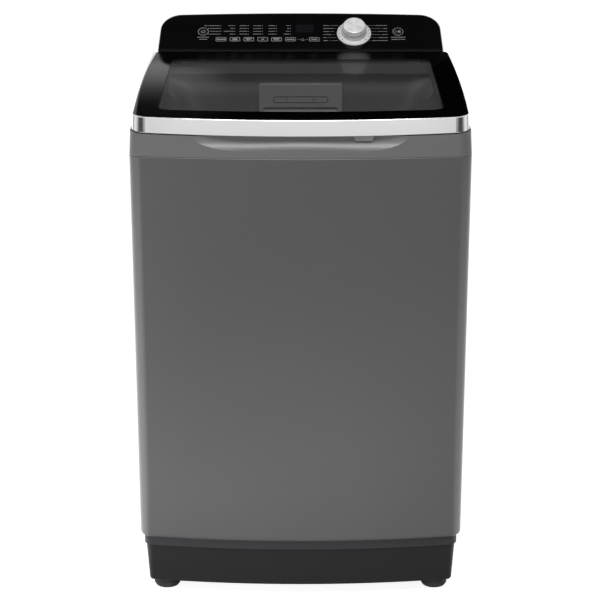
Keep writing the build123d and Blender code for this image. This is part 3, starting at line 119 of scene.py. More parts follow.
class WasherColours(bpy.types.PropertyGroup):
    """Colours of the finishes, linear."""

    casing: colour("Casing", "Metallic paint of the casing", (0.088, 0.088, 0.090))
    cover: colour("Top cover", "Moulded top cover", (0.104, 0.104, 0.106))
    plinth: colour("Plinth", "Moulded plinth", (0.012, 0.012, 0.013))
    panel: colour("Panel", "Gloss black fascia", (0.0035, 0.0035, 0.004))
    plating: colour("Plating", "Bright lid frame", (0.74, 0.74, 0.75))
    print_ink: colour("Print", "Pale outlines and signs of the keys", (0.62, 0.62, 0.62))
    word_ink: colour("Words", "Dimmer rows of words", (0.24, 0.24, 0.245))
    dispenser: colour("Dispenser", "Drawer and its housing", (0.37, 0.37, 0.375))
    tub: colour("Tub", "Filled plastic of the tub", (0.60, 0.60, 0.59))
    basket: colour("Basket", "Stainless drum wall", (0.62, 0.62, 0.63))
    pulsator: colour("Pulsator", "Polished pulsator", (0.55, 0.56, 0.58))


class WasherStage(bpy.types.PropertyGroup):
    """Camera and light."""

    lens: amount("Lens", "Focal length in millimetres", 99.27)
    pitch: amount("Pitch", "Camera tilt down, degrees", 17.141)
    distance: length("Distance", "Camera distance in front of the origin", 3.11338)
    height: length("Height", "Camera height over the floor", 1.43888)
    rise: amount("Rise", "Upward shift of the frame", 0.01023)
    slide: amount("Slide", "Sideways shift of the frame", -0.001)
    ambient: amount("Ambient", "Strength of the sky on matt surfaces", 0.20)
    floor_glow: amount("Floor glow", "White of the floor towards the camera", 0.84)
    key: amount("Key", "Power of the left soft box in watts", 26.0)
    overhead: amount("Overhead", "Power of the soft box over the front in watts", 46.0)
    low: amount("Low", "Power of the soft box on the floor in watts", 7.6)
    beside_left: amount("Left", "Brightness of the left floor in mirrors", 3.0)
    beside_right: amount("Right", "Brightness of the right floor in mirrors", 1.8)


# Shader expressions


def operation(name, turned=False):
    """A method that adds a Math node to a wire and another value; turned swaps the two."""
    def method(self, other=0.0):
        first, second = (other, self) if turned else (self, other)
        return self.network.node("ShaderNodeMath", {"operation": name}, {0: first, 1: second})
    return method


class Wire:
    """A socket of a node network; arithmetic on it adds Math nodes."""

    def __init__(self, network, socket):
        self.network = network
        self.socket = socket

    __add__ = __radd__ = operation("ADD")
    __sub__ = operation("SUBTRACT")
    __rsub__ = operation("SUBTRACT", True)
    __mul__ = __rmul__ = operation("MULTIPLY")
    __truediv__ = operation("DIVIDE")
    __rtruediv__ = operation("DIVIDE", True)
    __pow__ = operation("POWER")
    __gt__ = operation("GREATER_THAN")
    __abs__ = operation("ABSOLUTE")
    most = operation("MAXIMUM")
    sine = operation("SINE")
    floor = operation("FLOOR")
    fraction = operation("FRACT")
    angle_from = operation("ARCTAN2")

    def remap(self, low, high, to_low=0.0, to_high=1.0):
        """Smooth step from low to high, spread over the target range."""
        settings = {"interpolation_type": "SMOOTHSTEP"}
        inputs = {"Value": self, "From Min": low, "From Max": high, "To Min": to_low, "To Max": to_high}
        return self.network.node("ShaderNodeMapRange", settings, inputs)


class Network:
    """A node tree that is filled by code."""

    def __init__(self, tree):
        self.tree = tree
        self.tree.nodes.clear()

    def node(self, kind, settings=None, inputs=None, output=0):
        """Adds a node: its settings first, then values or wires on its sockets; returns one output."""
        made = self.tree.nodes.new(kind)
        for key, value in (settings or {}).items():
            setattr(made, key, value)
        for key, value in (inputs or {}).items():
            if isinstance(value, Wire):
                self.tree.links.new(value.socket, made.inputs[key])
            else:
                made.inputs[key].default_value = value
        return None if output is None else Wire(self, made.outputs[output])


class Finish(Network):
    """One procedural material: a Principled shader fed from patterns in object coordinates."""

    def __init__(self, name):
        self.material = bpy.data.materials.new(name)
        self.material.use_nodes = True
        super().__init__(self.material.node_tree)
        self.surface = self.node("ShaderNodeBsdfPrincipled")
        self.shader = self.surface.socket.node
        self.node("ShaderNodeOutputMaterial", None, {"Surface": self.surface}, None)
        self.place = self.node("ShaderNodeTexCoord", output="Object")
        self.x, self.y, self.z = self.split(self.place)

    def split(self, vector):
        """The three parts of a vector."""
        parts = self.node("ShaderNodeSeparateXYZ", None, {"Vector": vector})
        return [Wire(self, socket) for socket in parts.socket.node.outputs]

    def noise(self, scale, detail=2.0, stretch=None, place=None):
        """Soft noise, 0 to 1; stretch gives its own scale along each axis."""
        place = place or self.place
        if stretch:
            place = self.node("ShaderNodeMapping", None, {"Vector": place, "Scale": stretch})
        return self.node("ShaderNodeTexNoise", None, {"Vector": place, "Scale": scale, "Detail": detail})

    def cells(self, scale):
        """One random value for each cell of a pattern."""
        inputs = {"Vector": self.place, "Scale": scale}
        return self.split(self.node("ShaderNodeTexVoronoi", None, inputs, "Color"))[0]

    def tint(self, factor, first, second):
        """Blend of two colours, or of a colour wire and a colour."""
        def full(value):
            return value if isinstance(value, Wire) else (*value, 1.0)
        inputs = {0: factor, 6: full(first), 7: full(second)}
        return self.node("ShaderNodeMix", {"data_type": "RGBA"}, inputs, 2)

    def shades(self, factor, base, spread):
        """A base colour that runs darker and lighter by a share as the factor runs from 0 to 1."""
        dark = [channel * (1 - spread) for channel in base]
        light = [min(1.0, channel * (1 + spread)) for channel in base]
        return self.tint(factor, dark, light)

    def bump(self, height, strength, distance):
        """Relief on the normal."""
        inputs = {"Height": height, "Strength": strength, "Distance": distance}
        self.feed({"Normal": self.node("ShaderNodeBump", None, inputs)})

    def feed(self, inputs):
        """Wires or plain values on the shader's sockets."""
        for key, value in inputs.items():
            if isinstance(value, Wire):
                self.tree.links.new(value.socket, self.shader.inputs[key])
            else:
                self.shader.inputs[key].default_value = value

    def coat(self, tone, base, spread, rough, metallic=0.0, others=None):
        """Shades of a base colour, with a roughness, a share of metal and any other inputs."""
        self.feed({"Base Color": self.shades(tone, base, spread), "Roughness": rough, "Metallic": metallic})
        self.feed(others or {})

    def polar(self, centre, axis_up, axis_side):
        """Distance and angle round an axis given by its centre and two directions across it."""
        less = {"operation": "SUBTRACT"}
        dot = {"operation": "DOT_PRODUCT"}
        shifted = self.node("ShaderNodeVectorMath", less, {0: self.place, 1: tuple(centre)})
        side = self.node("ShaderNodeVectorMath", dot, {0: shifted, 1: tuple(axis_side)}, "Value")
        up = self.node("ShaderNodeVectorMath", dot, {0: shifted, 1: tuple(axis_up)}, "Value")
        return (side * side + up * up) ** 0.5, up.angle_from(side)


def moulded(finish, base, rough=0.45, grain=900.0, relief=0.12, coat=0.0):
    """Moulded plastic: eroded fine grain, faint clouding of colour and gloss."""
    fine = finish.noise(grain, 3)
    cloud = finish.noise(6.0, 2)
    rough = rough + 0.10 * (fine - 0.5) + 0.06 * (cloud - 0.5)
    finish.coat(cloud * 0.5 + fine * 0.5, base, 0.10, rough, 0.0, {"Coat Weight": coat})
    finish.bump(fine, relief, 0.0003)


def brushed(finish, base, rough, stretch, spread=0.12, relief=0.08):
    """Bare metal with drawn lines along the axis that has the small stretch; no relief leaves it flat."""
    lines = finish.noise(1.0, 3, stretch)
    cloud = finish.noise(9.0, 2)
    finish.coat(lines, base, spread, rough + 0.16 * (lines - 0.5) + 0.08 * (cloud - 0.5), 1.0)
    if relief:
        finish.bump(lines, relief, 0.0002)


def casing_paint(finish, colours):
    """Metallic grey stove paint: flake sparkle, orange peel and a thin clear coat."""
    flake = finish.cells(2600.0)
    cloud = finish.noise(2.2, 2)
    peel = finish.noise(330.0, 2)
    rough = 0.40 + 0.08 * (flake - 0.5) + 0.05 * (cloud - 0.5)
    clear = {"Coat Weight": 0.12, "Coat Roughness": 0.25}
    finish.coat(flake * 0.7 + cloud * 0.3, colours.casing, 0.16, rough, 0.45, clear)
    finish.bump(peel, 0.05, 0.0004)


def zinc_sheet(finish, colours):
    """Hot dip zinc: frosty crystals of different brightness and a faint rolling grain."""
    spangle = finish.cells(85.0)
    small = finish.cells(240.0)
    rolled = finish.noise(1.0, 2, (30.0, 30.0, 900.0))
    rough = 0.32 + 0.22 * spangle + 0.08 * rolled
    finish.coat(spangle * 0.7 + small * 0.3, (0.42, 0.43, 0.44), 0.22, rough, 0.85)
    finish.bump(small, 0.04, 0.0002)


PLINTH_GRAIN = 760.0
# Painted highlight: the band over this height is lightened by this share, standing for the light it catches.
LIT_BAND_FOOT = 99.0 * MM
LIT_BAND_SHARE = 2.6


def plinth_plastic(finish, colours):
    """Dark filled plastic with a dry spark grain; the band under the casing is painted a shade lighter, a painted
    highlight that stands for the light it catches.
    """
    moulded(finish, colours.plinth, 0.52, PLINTH_GRAIN, 0.22)
    fine = finish.noise(PLINTH_GRAIN, 3)
    # Painted highlight on the band under the casing, broken by the grain.
    band = (finish.z > LIT_BAND_FOOT) * (0.6 + 0.4 * fine)
    light = [LIT_BAND_SHARE * channel for channel in colours.plinth]
    finish.feed({"Base Color": finish.tint(band, colours.plinth, light), "Specular IOR Level": 0.2})


DUST_RISE = (1.0 * MM, 12.0 * MM)


def foot_rubber(finish, colours):
    """Black rubber, dusted grey where it meets the floor."""
    speck = finish.noise(420.0, 3)
    dust = (1 - finish.z.remap(*DUST_RISE)) * finish.noise(60.0, 3)
    finish.feed({
        "Base Color": finish.tint(dust * 0.5, (0.016, 0.016, 0.017), (0.09, 0.088, 0.084)),
        "Roughness": 0.62 + 0.2 * (speck - 0.5),
    })
    finish.bump(speck, 0.2, 0.0004)


# Loading mouth of the cover: its edges, its lip under the deck, and the heights between which it turns pale; the
# pale inside is partly a paler moulding and partly painted light against the shade under the glass
DECK_DROP = 29.6 * MM
MOUTH_FRONT = -250.0 * MM
MOUTH_REAR = 190.0 * MM
MOUTH_SIDE = 262.0 * MM
MOUTH_EDGE = 2.0 * MM
MOUTH_LIP = (0.5 * MM, 5.0 * MM)
# Painted light: heights over which the mouth's wall goes from its least to its full paleness, lifting the shade
# under the glass.
MOUTH_LIT_RISE = (862.0 * MM, 905.0 * MM)
MOUTH_LIT_LEAST = 0.2
MOUTH_LIT_SHARE = 3.0
COVER_SPREAD = 0.10


def cover_plastic(finish, colours):
    """Satin grey plastic of the top cover and console, paler inside the loading mouth: partly a paler moulding,
    partly painted light against the shade under the glass, growing towards the top of the wall.
    """
    fine = finish.noise(1100.0, 3)
    grain = finish.noise(6.0, 2) * 0.5 + fine * 0.5
    deck = (finish.y - lid_front[1]) * tan(LID_SLOPE) + (lid_front[2] - DECK_DROP)
    # The pale inside: partly a paler moulding, partly painted light against the shade under the glass.
    inside = abs(finish.x).remap(MOUTH_SIDE, MOUTH_SIDE - MOUTH_EDGE)
    inside = inside * finish.y.remap(MOUTH_FRONT, MOUTH_FRONT + MOUTH_EDGE)
    inside = inside * finish.y.remap(MOUTH_REAR, MOUTH_REAR - MOUTH_EDGE)
    inside = inside * (deck - finish.z).remap(*MOUTH_LIP)
    # Painted light: paler towards the top of the wall, where shade falls under the glass.
    inside = inside * finish.z.remap(*MOUTH_LIT_RISE, MOUTH_LIT_LEAST, 1.0)
    outer = finish.shades(grain, colours.cover, COVER_SPREAD)
    pale = finish.shades(grain, [MOUTH_LIT_SHARE * channel for channel in colours.cover], COVER_SPREAD)
    finish.feed({
        "Base Color": finish.tint(inside, outer, pale),
        "Roughness": 0.40 + 0.12 * (fine - 0.5),
        "Coat Weight": 0.08,
    })
    finish.bump(fine, 0.07, 0.0003)


FOOT_STRIP = (4.2 * MM, 3.2 * MM)


def panel_gloss(finish, colours):
    """Piano black panel: deep colour, faint polishing haze, and a lighter strip along its foot."""
    haze = finish.noise(14.0, 3)
    hair = finish.noise(1.0, 2, (2400.0, 40.0, 40.0))
    up = (finish.y - panel_foot[1]) * panel_up[1] + (finish.z - panel_foot[2]) * panel_up[2]
    deep = finish.shades(haze, colours.panel, 0.25)
    finish.feed({
        "Base Color": finish.tint(up.remap(*FOOT_STRIP), deep, (0.012, 0.012, 0.012)),
        "Roughness": 0.07 + 0.04 * haze + 0.02 * hair,
        "Specular IOR Level": 0.22,
    })


def smoked_lens(finish, colours):
    """Smoked acrylic of the display with the faint raster of its segments behind it."""
    raster = finish.noise(900.0, 1)
    rough = 0.06 + 0.05 * finish.noise(30.0, 2)
    finish.coat(raster, (0.008, 0.008, 0.010), 0.4, rough, 0.0, {"Specular IOR Level": 0.4})


def circuit_board(finish, colours):
    """Green solder mask with lighter tracks."""
    track = finish.cells(260.0)
    finish.feed({
        "Base Color": finish.tint(track.remap(0.6, 0.75), (0.012, 0.09, 0.035), (0.03, 0.20, 0.08)),
        "Roughness": 0.35 + 0.2 * track,
    })
    finish.bump(track, 0.2, 0.0002)


def dial_pale(finish, colours):
    """Pale satin ring under the knob."""
    cloud = finish.noise(160.0, 2)
    finish.coat(cloud, (0.66, 0.66, 0.67), 0.04, 0.28 + 0.1 * cloud)


KNURLS = 36
# Reach of the bevel where the pits are darkened as painted shade.
BEVEL_INNER = (21.7 * MM, 22.2 * MM)
BEVEL_OUTER = (23.9 * MM, 23.4 * MM)


def knob_silver(finish, colours):
    """Turned aluminium with turning lines; its bright and dim sectors that meet at the middle are a painted
    reflection, and the dark pits round the bevel are painted shade in the dimples.
    """
    reach, angle = finish.polar(knob_spot, panel_up, across)
    spread = finish.node("ShaderNodeCombineXYZ", None, {"X": angle * 34.0, "Y": reach * 60.0})
    rays = finish.noise(1.0, 4, place=spread)
    # Painted reflection: bright and dim sectors that stand for the turned metal's highlight.
    sheen_sector = (angle * 4.0 + 0.9).sine() * 0.5 + (angle * 2.0 - 0.4).sine() * 0.3
    bevel = reach.remap(*BEVEL_INNER) * reach.remap(*BEVEL_OUTER)
    # Painted shade: pits darkened round the bevel where the dimples fall into shade.
    pit_shade = bevel * (angle * KNURLS).sine().remap(0.35, 0.6)
    tone = finish.shades(rays * 0.5 + sheen_sector * 0.4 + 0.3, (0.93, 0.93, 0.94), 0.26)
    finish.feed({
        "Base Color": finish.tint(pit_shade, tone, (0.10, 0.10, 0.10)),
        "Roughness": 0.34 + 0.16 * (rays - 0.5),
        "Metallic": 0.18,
    })
    finish.bump(rays, 0.06, 0.0002)


def key_black(finish, colours):
    """Satin black key caps."""
    fine = finish.noise(1300.0, 2)
    rough = 0.22 + 0.10 * fine
    finish.coat(fine, (0.006, 0.006, 0.0065), 0.3, rough, 0.0, {"Specular IOR Level": 0.35})


def lid_plating(finish, colours):
    """Bright plating over plastic: near mirror with a faint ripple of the moulding."""
    ripple = finish.noise(22.0, 2)
    haze = finish.noise(140.0, 3)
    finish.coat(haze, colours.plating, 0.03, 0.10 + 0.06 * haze, 1.0)
    finish.bump(ripple, 0.012, 0.002)


# Clear window of the lid's glass, measured from the middle and back from the front edge
WINDOW_SIDE = 252.5 * MM
WINDOW_MIDDLE = 226.5 * MM
WINDOW_HALF = 184.5 * MM
WINDOW_CORNER = 20.0 * MM
WINDOW_BOW = 16.0 * MM
BOW_REACH = (150.0 * MM, 30.0 * MM)
BORDER_SOFT = 0.6 * MM
HAZE_REACH = (360.0 * MM, 430.0 * MM)


def lid_pane(finish, colours):
    """Tinted tempered glass: opaque black printed border, smoke-grey clear window with rounded corners."""
    along = (finish.y - lid_front[1]) * lid_back[1] + (finish.z - lid_front[2]) * lid_back[2]
    bow = WINDOW_BOW * (1 - finish.x * finish.x / WINDOW_SIDE**2) * along.remap(*BOW_REACH)
    side = (abs(finish.x) - (WINDOW_SIDE - WINDOW_CORNER)).most(0.0)
    end = (abs(along + bow - WINDOW_MIDDLE) - (WINDOW_HALF - WINDOW_CORNER)).most(0.0)
    outside = (side * side + end * end) ** 0.5
    border = outside.remap(WINDOW_CORNER - BORDER_SOFT, WINDOW_CORNER + BORDER_SOFT)
    smear = finish.noise(9.0, 3)
    finish.feed({
        "Base Color": finish.tint(border, (0.055, 0.055, 0.057), (0.0012, 0.0012, 0.0013)),
        "Alpha": 0.28 + 0.72 * border,
        "Roughness": 0.06 + 0.03 * smear + 0.18 * along.remap(*HAZE_REACH),
        "Specular IOR Level": 0.08,
    })


def lid_lining(finish, colours):
    """Grey inner lining of the lid."""
    moulded(finish, (0.15, 0.15, 0.152), 0.48, 900.0, 0.12)


def bright_steel(finish, colours):
    """Drawn bright steel of pins, rods, shafts and screws."""
    brushed(finish, (0.56, 0.56, 0.57), 0.28, (500.0, 500.0, 60.0))


def latch_plastic(finish, colours):
    """Grey plastic of the latch and lock."""
    moulded(finish, (0.17, 0.17, 0.172), 0.44, 1000.0, 0.10)


def soft_rubber(finish, colours):
    """Black soft rubber."""
    moulded(finish, (0.018, 0.018, 0.018), 0.66, 500.0, 0.2)


def drawer_plastic(finish, colours):
    """Satin grey dispenser plastic."""
    moulded(finish, colours.dispenser, 0.46, 1000.0, 0.10)


def cap_blue(finish, colours):
    """Blue siphon cap."""
    moulded(finish, (0.03, 0.10, 0.30), 0.38, 900.0, 0.08)


def valve_white(finish, colours):
    """Off-white valve plastic with moulding flow."""
    moulded(finish, (0.66, 0.66, 0.62), 0.42, 700.0, 0.10)


def tub_plastic(finish, colours):
    """Pale filled polypropylene with flow marks round the axis."""
    flow = finish.noise(1.0, 3, (12.0, 12.0, 160.0))
    fine = finish.noise(800.0, 2)
    finish.coat(flow * 0.7 + fine * 0.3, colours.tub, 0.10, 0.46 + 0.12 * (fine - 0.5))
    finish.bump(fine, 0.10, 0.0003)


def raw_casting(finish, colours):
    """Sand-textured aluminium casting."""
    grit = finish.noise(650.0, 4)
    cloud = finish.noise(20.0, 2)
    finish.coat(grit * 0.5 + cloud * 0.5, (0.46, 0.46, 0.47), 0.2, 0.50 + 0.2 * (grit - 0.5), 0.9)
    finish.bump(grit, 0.35, 0.0005)


def lamination(finish, colours):
    """Varnished stack of thin steel sheets."""
    sheet = (finish.z * 9000.0).sine()
    stain = finish.noise(80.0, 3)
    finish.coat(sheet * 0.25 + stain * 0.6 + 0.15, (0.12, 0.11, 0.11), 0.35, 0.40 + 0.15 * stain, 0.7)
    finish.bump(sheet, 0.15, 0.0002)


def copper_wire(finish, colours):
    """Enamelled copper turns."""
    turn = (finish.z * 4500.0).sine()
    tone = finish.noise(150.0, 2)
    finish.coat(turn * 0.3 + tone * 0.5 + 0.1, (0.50, 0.17, 0.06), 0.35, 0.28 + 0.12 * tone, 0.9)
    finish.bump(turn, 0.5, 0.0004)


def rotor_zinc(finish, colours):
    """Zinc plated pressing."""
    cloud = finish.noise(35.0, 3)
    fine = finish.noise(500.0, 2)
    finish.coat(cloud, (0.46, 0.47, 0.50), 0.18, 0.34 + 0.2 * cloud + 0.08 * fine, 0.95)
    finish.bump(fine, 0.06, 0.0002)


def ferrite(finish, colours):
    """Dull grey-black sintered magnet."""
    grit = finish.noise(900.0, 3)
    finish.coat(grit, (0.035, 0.034, 0.035), 0.4, 0.55 + 0.2 * grit)
    finish.bump(grit, 0.25, 0.0003)


HOLE_COLUMNS = 96
HOLE_PITCH = 16.0 * MM
PILLOW_HOLES = 8


def drum_steel(finish, colours):
    """Stainless drum sheet, drawn round the axis, with staggered drain holes between pressed pillows."""
    angle = finish.polar(drum_spot, (0, 1, 0), (1, 0, 0))[1]
    row = (finish.z / HOLE_PITCH).floor()
    shift = (row * 0.5).fraction()
    across_cell = (angle * (HOLE_COLUMNS / (2 * pi)) + shift).fraction() - 0.5
    up_cell = (finish.z / HOLE_PITCH).fraction() - 0.5
    hole = (across_cell * across_cell + up_cell * up_cell) ** 0.5
    pillow = (angle * (HOLE_COLUMNS / PILLOW_HOLES)).sine()
    pillow = pillow * (finish.z * (pi / (PILLOW_HOLES * HOLE_PITCH))).sine()
    brushed(finish, colours.basket, 0.24, (40.0, 40.0, 1500.0), 0.10, 0.0)
    finish.bump(pillow * 0.6 + hole.remap(0.10, 0.24) * 0.4, 0.5, 0.004)
    finish.feed({"Alpha": hole.remap(0.085, 0.10)})


def drum_plastic(finish, colours):
    """Blue-grey plastic of the balance ring and drum floor."""
    moulded(finish, (0.42, 0.43, 0.455), 0.34, 800.0, 0.06, 0.1)


def pulsator_gloss(finish, colours):
    """Polished pulsator plastic with metallic flow lines."""
    reach, angle = finish.polar(drum_spot, (0, 1, 0), (1, 0, 0))
    spread = finish.node("ShaderNodeCombineXYZ", None, {"X": angle * 3.0, "Y": reach * 160.0})
    swirl = finish.noise(1.0, 3, place=spread)
    rough = 0.22 + 0.10 * swirl
    finish.coat(swirl, colours.pulsator, 0.10, rough, 0.0, {"Coat Weight": 0.2})


def filter_plastic(finish, colours):
    """Blue-grey filter frames."""
    moulded(finish, (0.16, 0.22, 0.31), 0.42, 900.0, 0.10)


def spring_steel(finish, colours):
    """Oiled spring wire."""
    brushed(finish, (0.30, 0.30, 0.31), 0.36, (300.0, 300.0, 300.0), 0.2)


def inked(finish, base, spread, rough, scale=2600.0, detail=2):
    """Screen print, slightly broken by the mesh it was pressed through."""
    mesh = finish.noise(scale, detail)
    finish.coat(mesh, base, spread, rough + 0.1 * mesh)


def printed(finish, colours):
    """Pale print of outlines and signs."""
    inked(finish, colours.print_ink, 0.10, 0.5)


def printed_words(finish, colours):
    """Grey print of the rows of words."""
    inked(finish, colours.word_ink, 0.15, 0.5)


def unlit_figures(finish, colours):
    """Unlit figures that barely show behind smoked acrylic."""
    inked(finish, (0.007, 0.007, 0.0075), 0.3, 0.25, 1500.0, 1)


def dark_dot(finish, colours):
    """Black dots on the pale ring and black marks on the drawer."""
    inked(finish, (0.012, 0.012, 0.013), 0.3, 0.35, 1800.0)


slot_finishes = {
    "body_paint": casing_paint, "rear_steel": zinc_sheet, "plinth_plastic": plinth_plastic,
    "foot_plastic": foot_rubber, "cover_plastic": cover_plastic, "fascia_gloss": panel_gloss,
    "display_smoke": smoked_lens, "board_green": circuit_board, "dial_pale": dial_pale,
    "knob_silver": knob_silver, "key_black": key_black, "lid_bright": lid_plating,
    "lid_pane": lid_pane, "lid_lining": lid_lining, "pin_steel": bright_steel,
    "latch_plastic": latch_plastic, "buffer_rubber": soft_rubber, "drawer_plastic": drawer_plastic,
    "cap_blue": cap_blue, "valve_white": valve_white, "tub_plastic": tub_plastic, "casting": raw_casting,
    "lamination": lamination, "copper": copper_wire, "rotor_steel": rotor_zinc, "magnet": ferrite,
    "basket_steel": drum_steel, "basket_plastic": drum_plastic, "pulsator_plastic": pulsator_gloss,
    "filter_plastic": filter_plastic, "spring_steel": spring_steel,
}
made_finishes = {}


def finish_of(maker):
    """The material that a finish function makes, made once."""
    name = maker.__name__
    if name not in made_finishes:
        finish = Finish(name)
        maker(finish, bpy.context.scene.washer_colours)
        made_finishes[name] = finish.material
    return made_finishes[name]


def dress(*bodies):
    """Gives the solids of bodies the finish of their material slot."""
    for body in bodies:
        for node in nodes_of[body]:
            shown = frame["nodes"][node].data.materials
            shown.clear()
            shown.append(finish_of(slot_finishes[slot_of[node]]))


# Surfaces


def on_panel(x, up, out):
    """Points on the sloped panel: across from the middle, up from its lower edge, and out of its face."""
    x, up, out = np.broadcast_arrays(np.asarray(x, float), np.asarray(up, float), np.asarray(out, float))
    return panel_foot + x[..., None] * across + up[..., None] * panel_up + out[..., None] * panel_out


def on_drawer(x, up, out):
    """Points on the drawer's upright face: across from the middle, up from the floor, out of the label."""
    x, up, out = np.broadcast_arrays(np.asarray(x, float), np.asarray(up, float), np.asarray(out, float))
    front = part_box("detergent_drawer")[0][1]
    return np.stack([x, front - out, up], axis=-1)


def weave(rows, columns, close_rows=False, close_columns=False):
    """Quads of a grid of points; a closed way joins its last line to its first."""
    row = np.arange(rows if close_rows else rows - 1)
    column = np.arange(columns if close_columns else columns - 1)
    row, column = (part.ravel() for part in np.meshgrid(row, column, indexing="ij"))
    below = (row + 1) % rows
    beside = (column + 1) % columns
    return np.stack([
        row * columns + column, row * columns + beside, below * columns + beside, below * columns + column,
    ], axis=1)


MERGE_REACH = 0.001 * MM


def new_piece(name, parts, body, maker, stands_for=(), sharp=35.0, bend=()):
    """One closed object from (points, quads) parts; doubles are merged and faces turned outwards.

    It rides on its body; with a bend given, its points are baked into world space and it is left unattached, and
    the bend's body and points are not used.
    """
    points, quads, start = [], [], 0
    for part_points, part_quads in parts:
        flat = part_points.reshape(-1, 3)
        points.append(flat)
        quads.append(part_quads + start)
        start += len(flat)
    mesh = bpy.data.meshes.new(name)
    mesh.from_pydata(np.concatenate(points).tolist(), [], np.concatenate(quads).tolist())
    work = bmesh.new()
    work.from_mesh(mesh)
    bmesh.ops.remove_doubles(work, verts=work.verts, dist=MERGE_REACH)
    bmesh.ops.recalc_face_normals(work, faces=work.faces)
    work.to_mesh(mesh)
    work.free()
    mesh.polygons.foreach_set("use_smooth", np.ones(len(mesh.polygons), bool))
    mesh.set_sharp_from_angle(angle=radians(sharp))
    mesh.materials.append(finish_of(maker))
    piece = bpy.data.objects.new(name, mesh)
    bpy.context.scene.collection.objects.link(piece)
    if bend:
        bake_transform(piece)
    else:
        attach(piece, body)
    if stands_for:
        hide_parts(*stands_for)


CUBE_QUADS = np.array([
    [0, 1, 3, 2], [4, 6, 7, 5], [0, 4, 5, 1], [2, 3, 7, 6], [0, 2, 6, 4], [1, 5, 7, 3],
])


def bars(boxes, low, high, place=on_panel):
    """Flat bars on a face: each row of boxes is left, right, lower and upper edge; eight corners each."""
    boxes = np.asarray(boxes, float)
    x = boxes[:, [0, 0, 0, 0, 1, 1, 1, 1]]
    up = boxes[:, [2, 2, 3, 3, 2, 2, 3, 3]]
    out = np.broadcast_to(np.array([low, high, low, high, low, high, low, high]), x.shape)
    points = place(x, up, out)
    quads = (CUBE_QUADS[None] + 8 * np.arange(len(boxes))[:, None, None]).reshape(-1, 4)
    return points, quads


def ribbon(x, up, width, low, high, closed, place=on_panel):
    """A flat line of even width along a path on a face: the path moved half a width to each side."""
    path = np.stack([x, up], axis=1)
    if closed:
        ahead = np.roll(path, -1, 0) - np.roll(path, 1, 0)
    else:
        ahead = np.gradient(path, axis=0)
    ahead /= np.linalg.norm(ahead, axis=1, keepdims=True)
    side = np.stack([-ahead[:, 1], ahead[:, 0]], axis=1) * width / 2
    left, right = path + side, path - side
    ring = np.stack([left, left, right, right], axis=1)
    out = np.broadcast_to(np.array([low, high, high, low]), ring.shape[:2])
    points = place(ring[..., 0], ring[..., 1], out)
    quads = weave(len(path), 4, closed, True)
    if not closed:
        last = 4 * (len(path) - 1)
        quads = np.concatenate([quads, [[0, 1, 2, 3], [last + 3, last + 2, last + 1, last]]])
    return points, quads


def round_box(x, up, half_x, half_up, radius, count=6):
    """Outline of a rounded rectangle: quarter circles about its four corner centres."""
    turn = np.linspace(0, pi / 2, count)
    angle = np.concatenate([turn + quarter * pi / 2 for quarter in range(4)])
    sign_x = np.repeat([1, -1, -1, 1], count)
    sign_up = np.repeat([1, 1, -1, -1], count)
    x = x + sign_x * (half_x - radius) + radius * np.cos(angle)
    up = up + sign_up * (half_up - radius) + radius * np.sin(angle)
    return x, up


def ring_line(x, up, radius, width, low, high, first=0.0, sweep=2 * pi, count=48):
    """A printed circle or arc of even width."""
    closed = sweep >= 2 * pi - 1e-6
    angle = first + np.linspace(0, sweep, count, endpoint=not closed)
    return ribbon(x + radius * np.cos(angle), up + radius * np.sin(angle), width, low, high, closed)


def discs(x, up, radius, low, high, count=16):
    """Round dots on the panel: a rim at two heights, each closed to its middle."""
    angle = np.linspace(0, 2 * pi, count, endpoint=False)
    x = np.asarray(x, float)[:, None, None]
    up = np.asarray(up, float)[:, None, None]
    reach = radius * np.array([0.0, 1.0, 1.0, 0.0])[:, None]
    out = np.broadcast_to(np.array([low, low, high, high])[:, None], (len(x), 4, count))
    points = on_panel(x + reach * np.cos(angle), up + reach * np.sin(angle), out)
    quads = weave(4, count, False, True)
    quads = (quads[None] + 4 * count * np.arange(len(x))[:, None, None]).reshape(-1, 4)
    return points, quads


WORD_LENGTH = 3.4 * MM
WORD_SHARES = (0.6, 1.6)
WORD_GAP = 0.35 * MM


def words(left, right, up, height, seed):
    """Bars that stand for one printed row: letter groups of uneven length between two edges."""
    count = max(1, round((right - left) / WORD_LENGTH))
    share = np.random.default_rng(seed).uniform(*WORD_SHARES, count)
    edges = left + (right - left) * np.concatenate([[0.0], np.cumsum(share) / share.sum()])
    low = np.full(count, up - height / 2)
    return np.stack([edges[:-1] + WORD_GAP, edges[1:] - WORD_GAP, low, low + height], axis=1)


def middle_words(middle, width, up, height, seed):
    """A printed row of a given width about its middle."""
    return words(middle - width / 2, middle + width / 2, up, height, seed)


def stroke(left, right, up, width):
    """One level line between two edges."""
    return np.array([[left, right, up - width / 2, up + width / 2]])


def lathe(rows, reach, height, columns, origin, side, up, out, shape=None):
    """A turned surface: each profile row (reach, height) swept round an axis.

    The rows are places along the profile, whole at its points. The shape function takes the grids of height
    and angle and returns what is added to the reach.
    """
    angle = np.linspace(0, 2 * pi, columns, endpoint=False)
    reach = np.interp(rows, np.arange(len(reach)), reach)[:, None] + np.zeros(columns)
    height = np.interp(rows, np.arange(len(height)), height)[:, None] + np.zeros(columns)
    if shape:
        reach = np.maximum(reach + shape(height, angle[None]), 0.0)
    points = origin + (reach * np.cos(angle))[..., None] * side + (reach * np.sin(angle))[..., None] * up
    return points + height[..., None] * out, weave(len(rows), columns, False, True)


def window(value, low, high, soft):
    """One between two limits, nothing outside them, with soft flanks."""
    rise = np.clip((value - low) / soft, 0, 1)
    fall = np.clip((high - value) / soft, 0, 1)
    return rise * rise * (3 - 2 * rise) * fall * fall * (3 - 2 * fall)


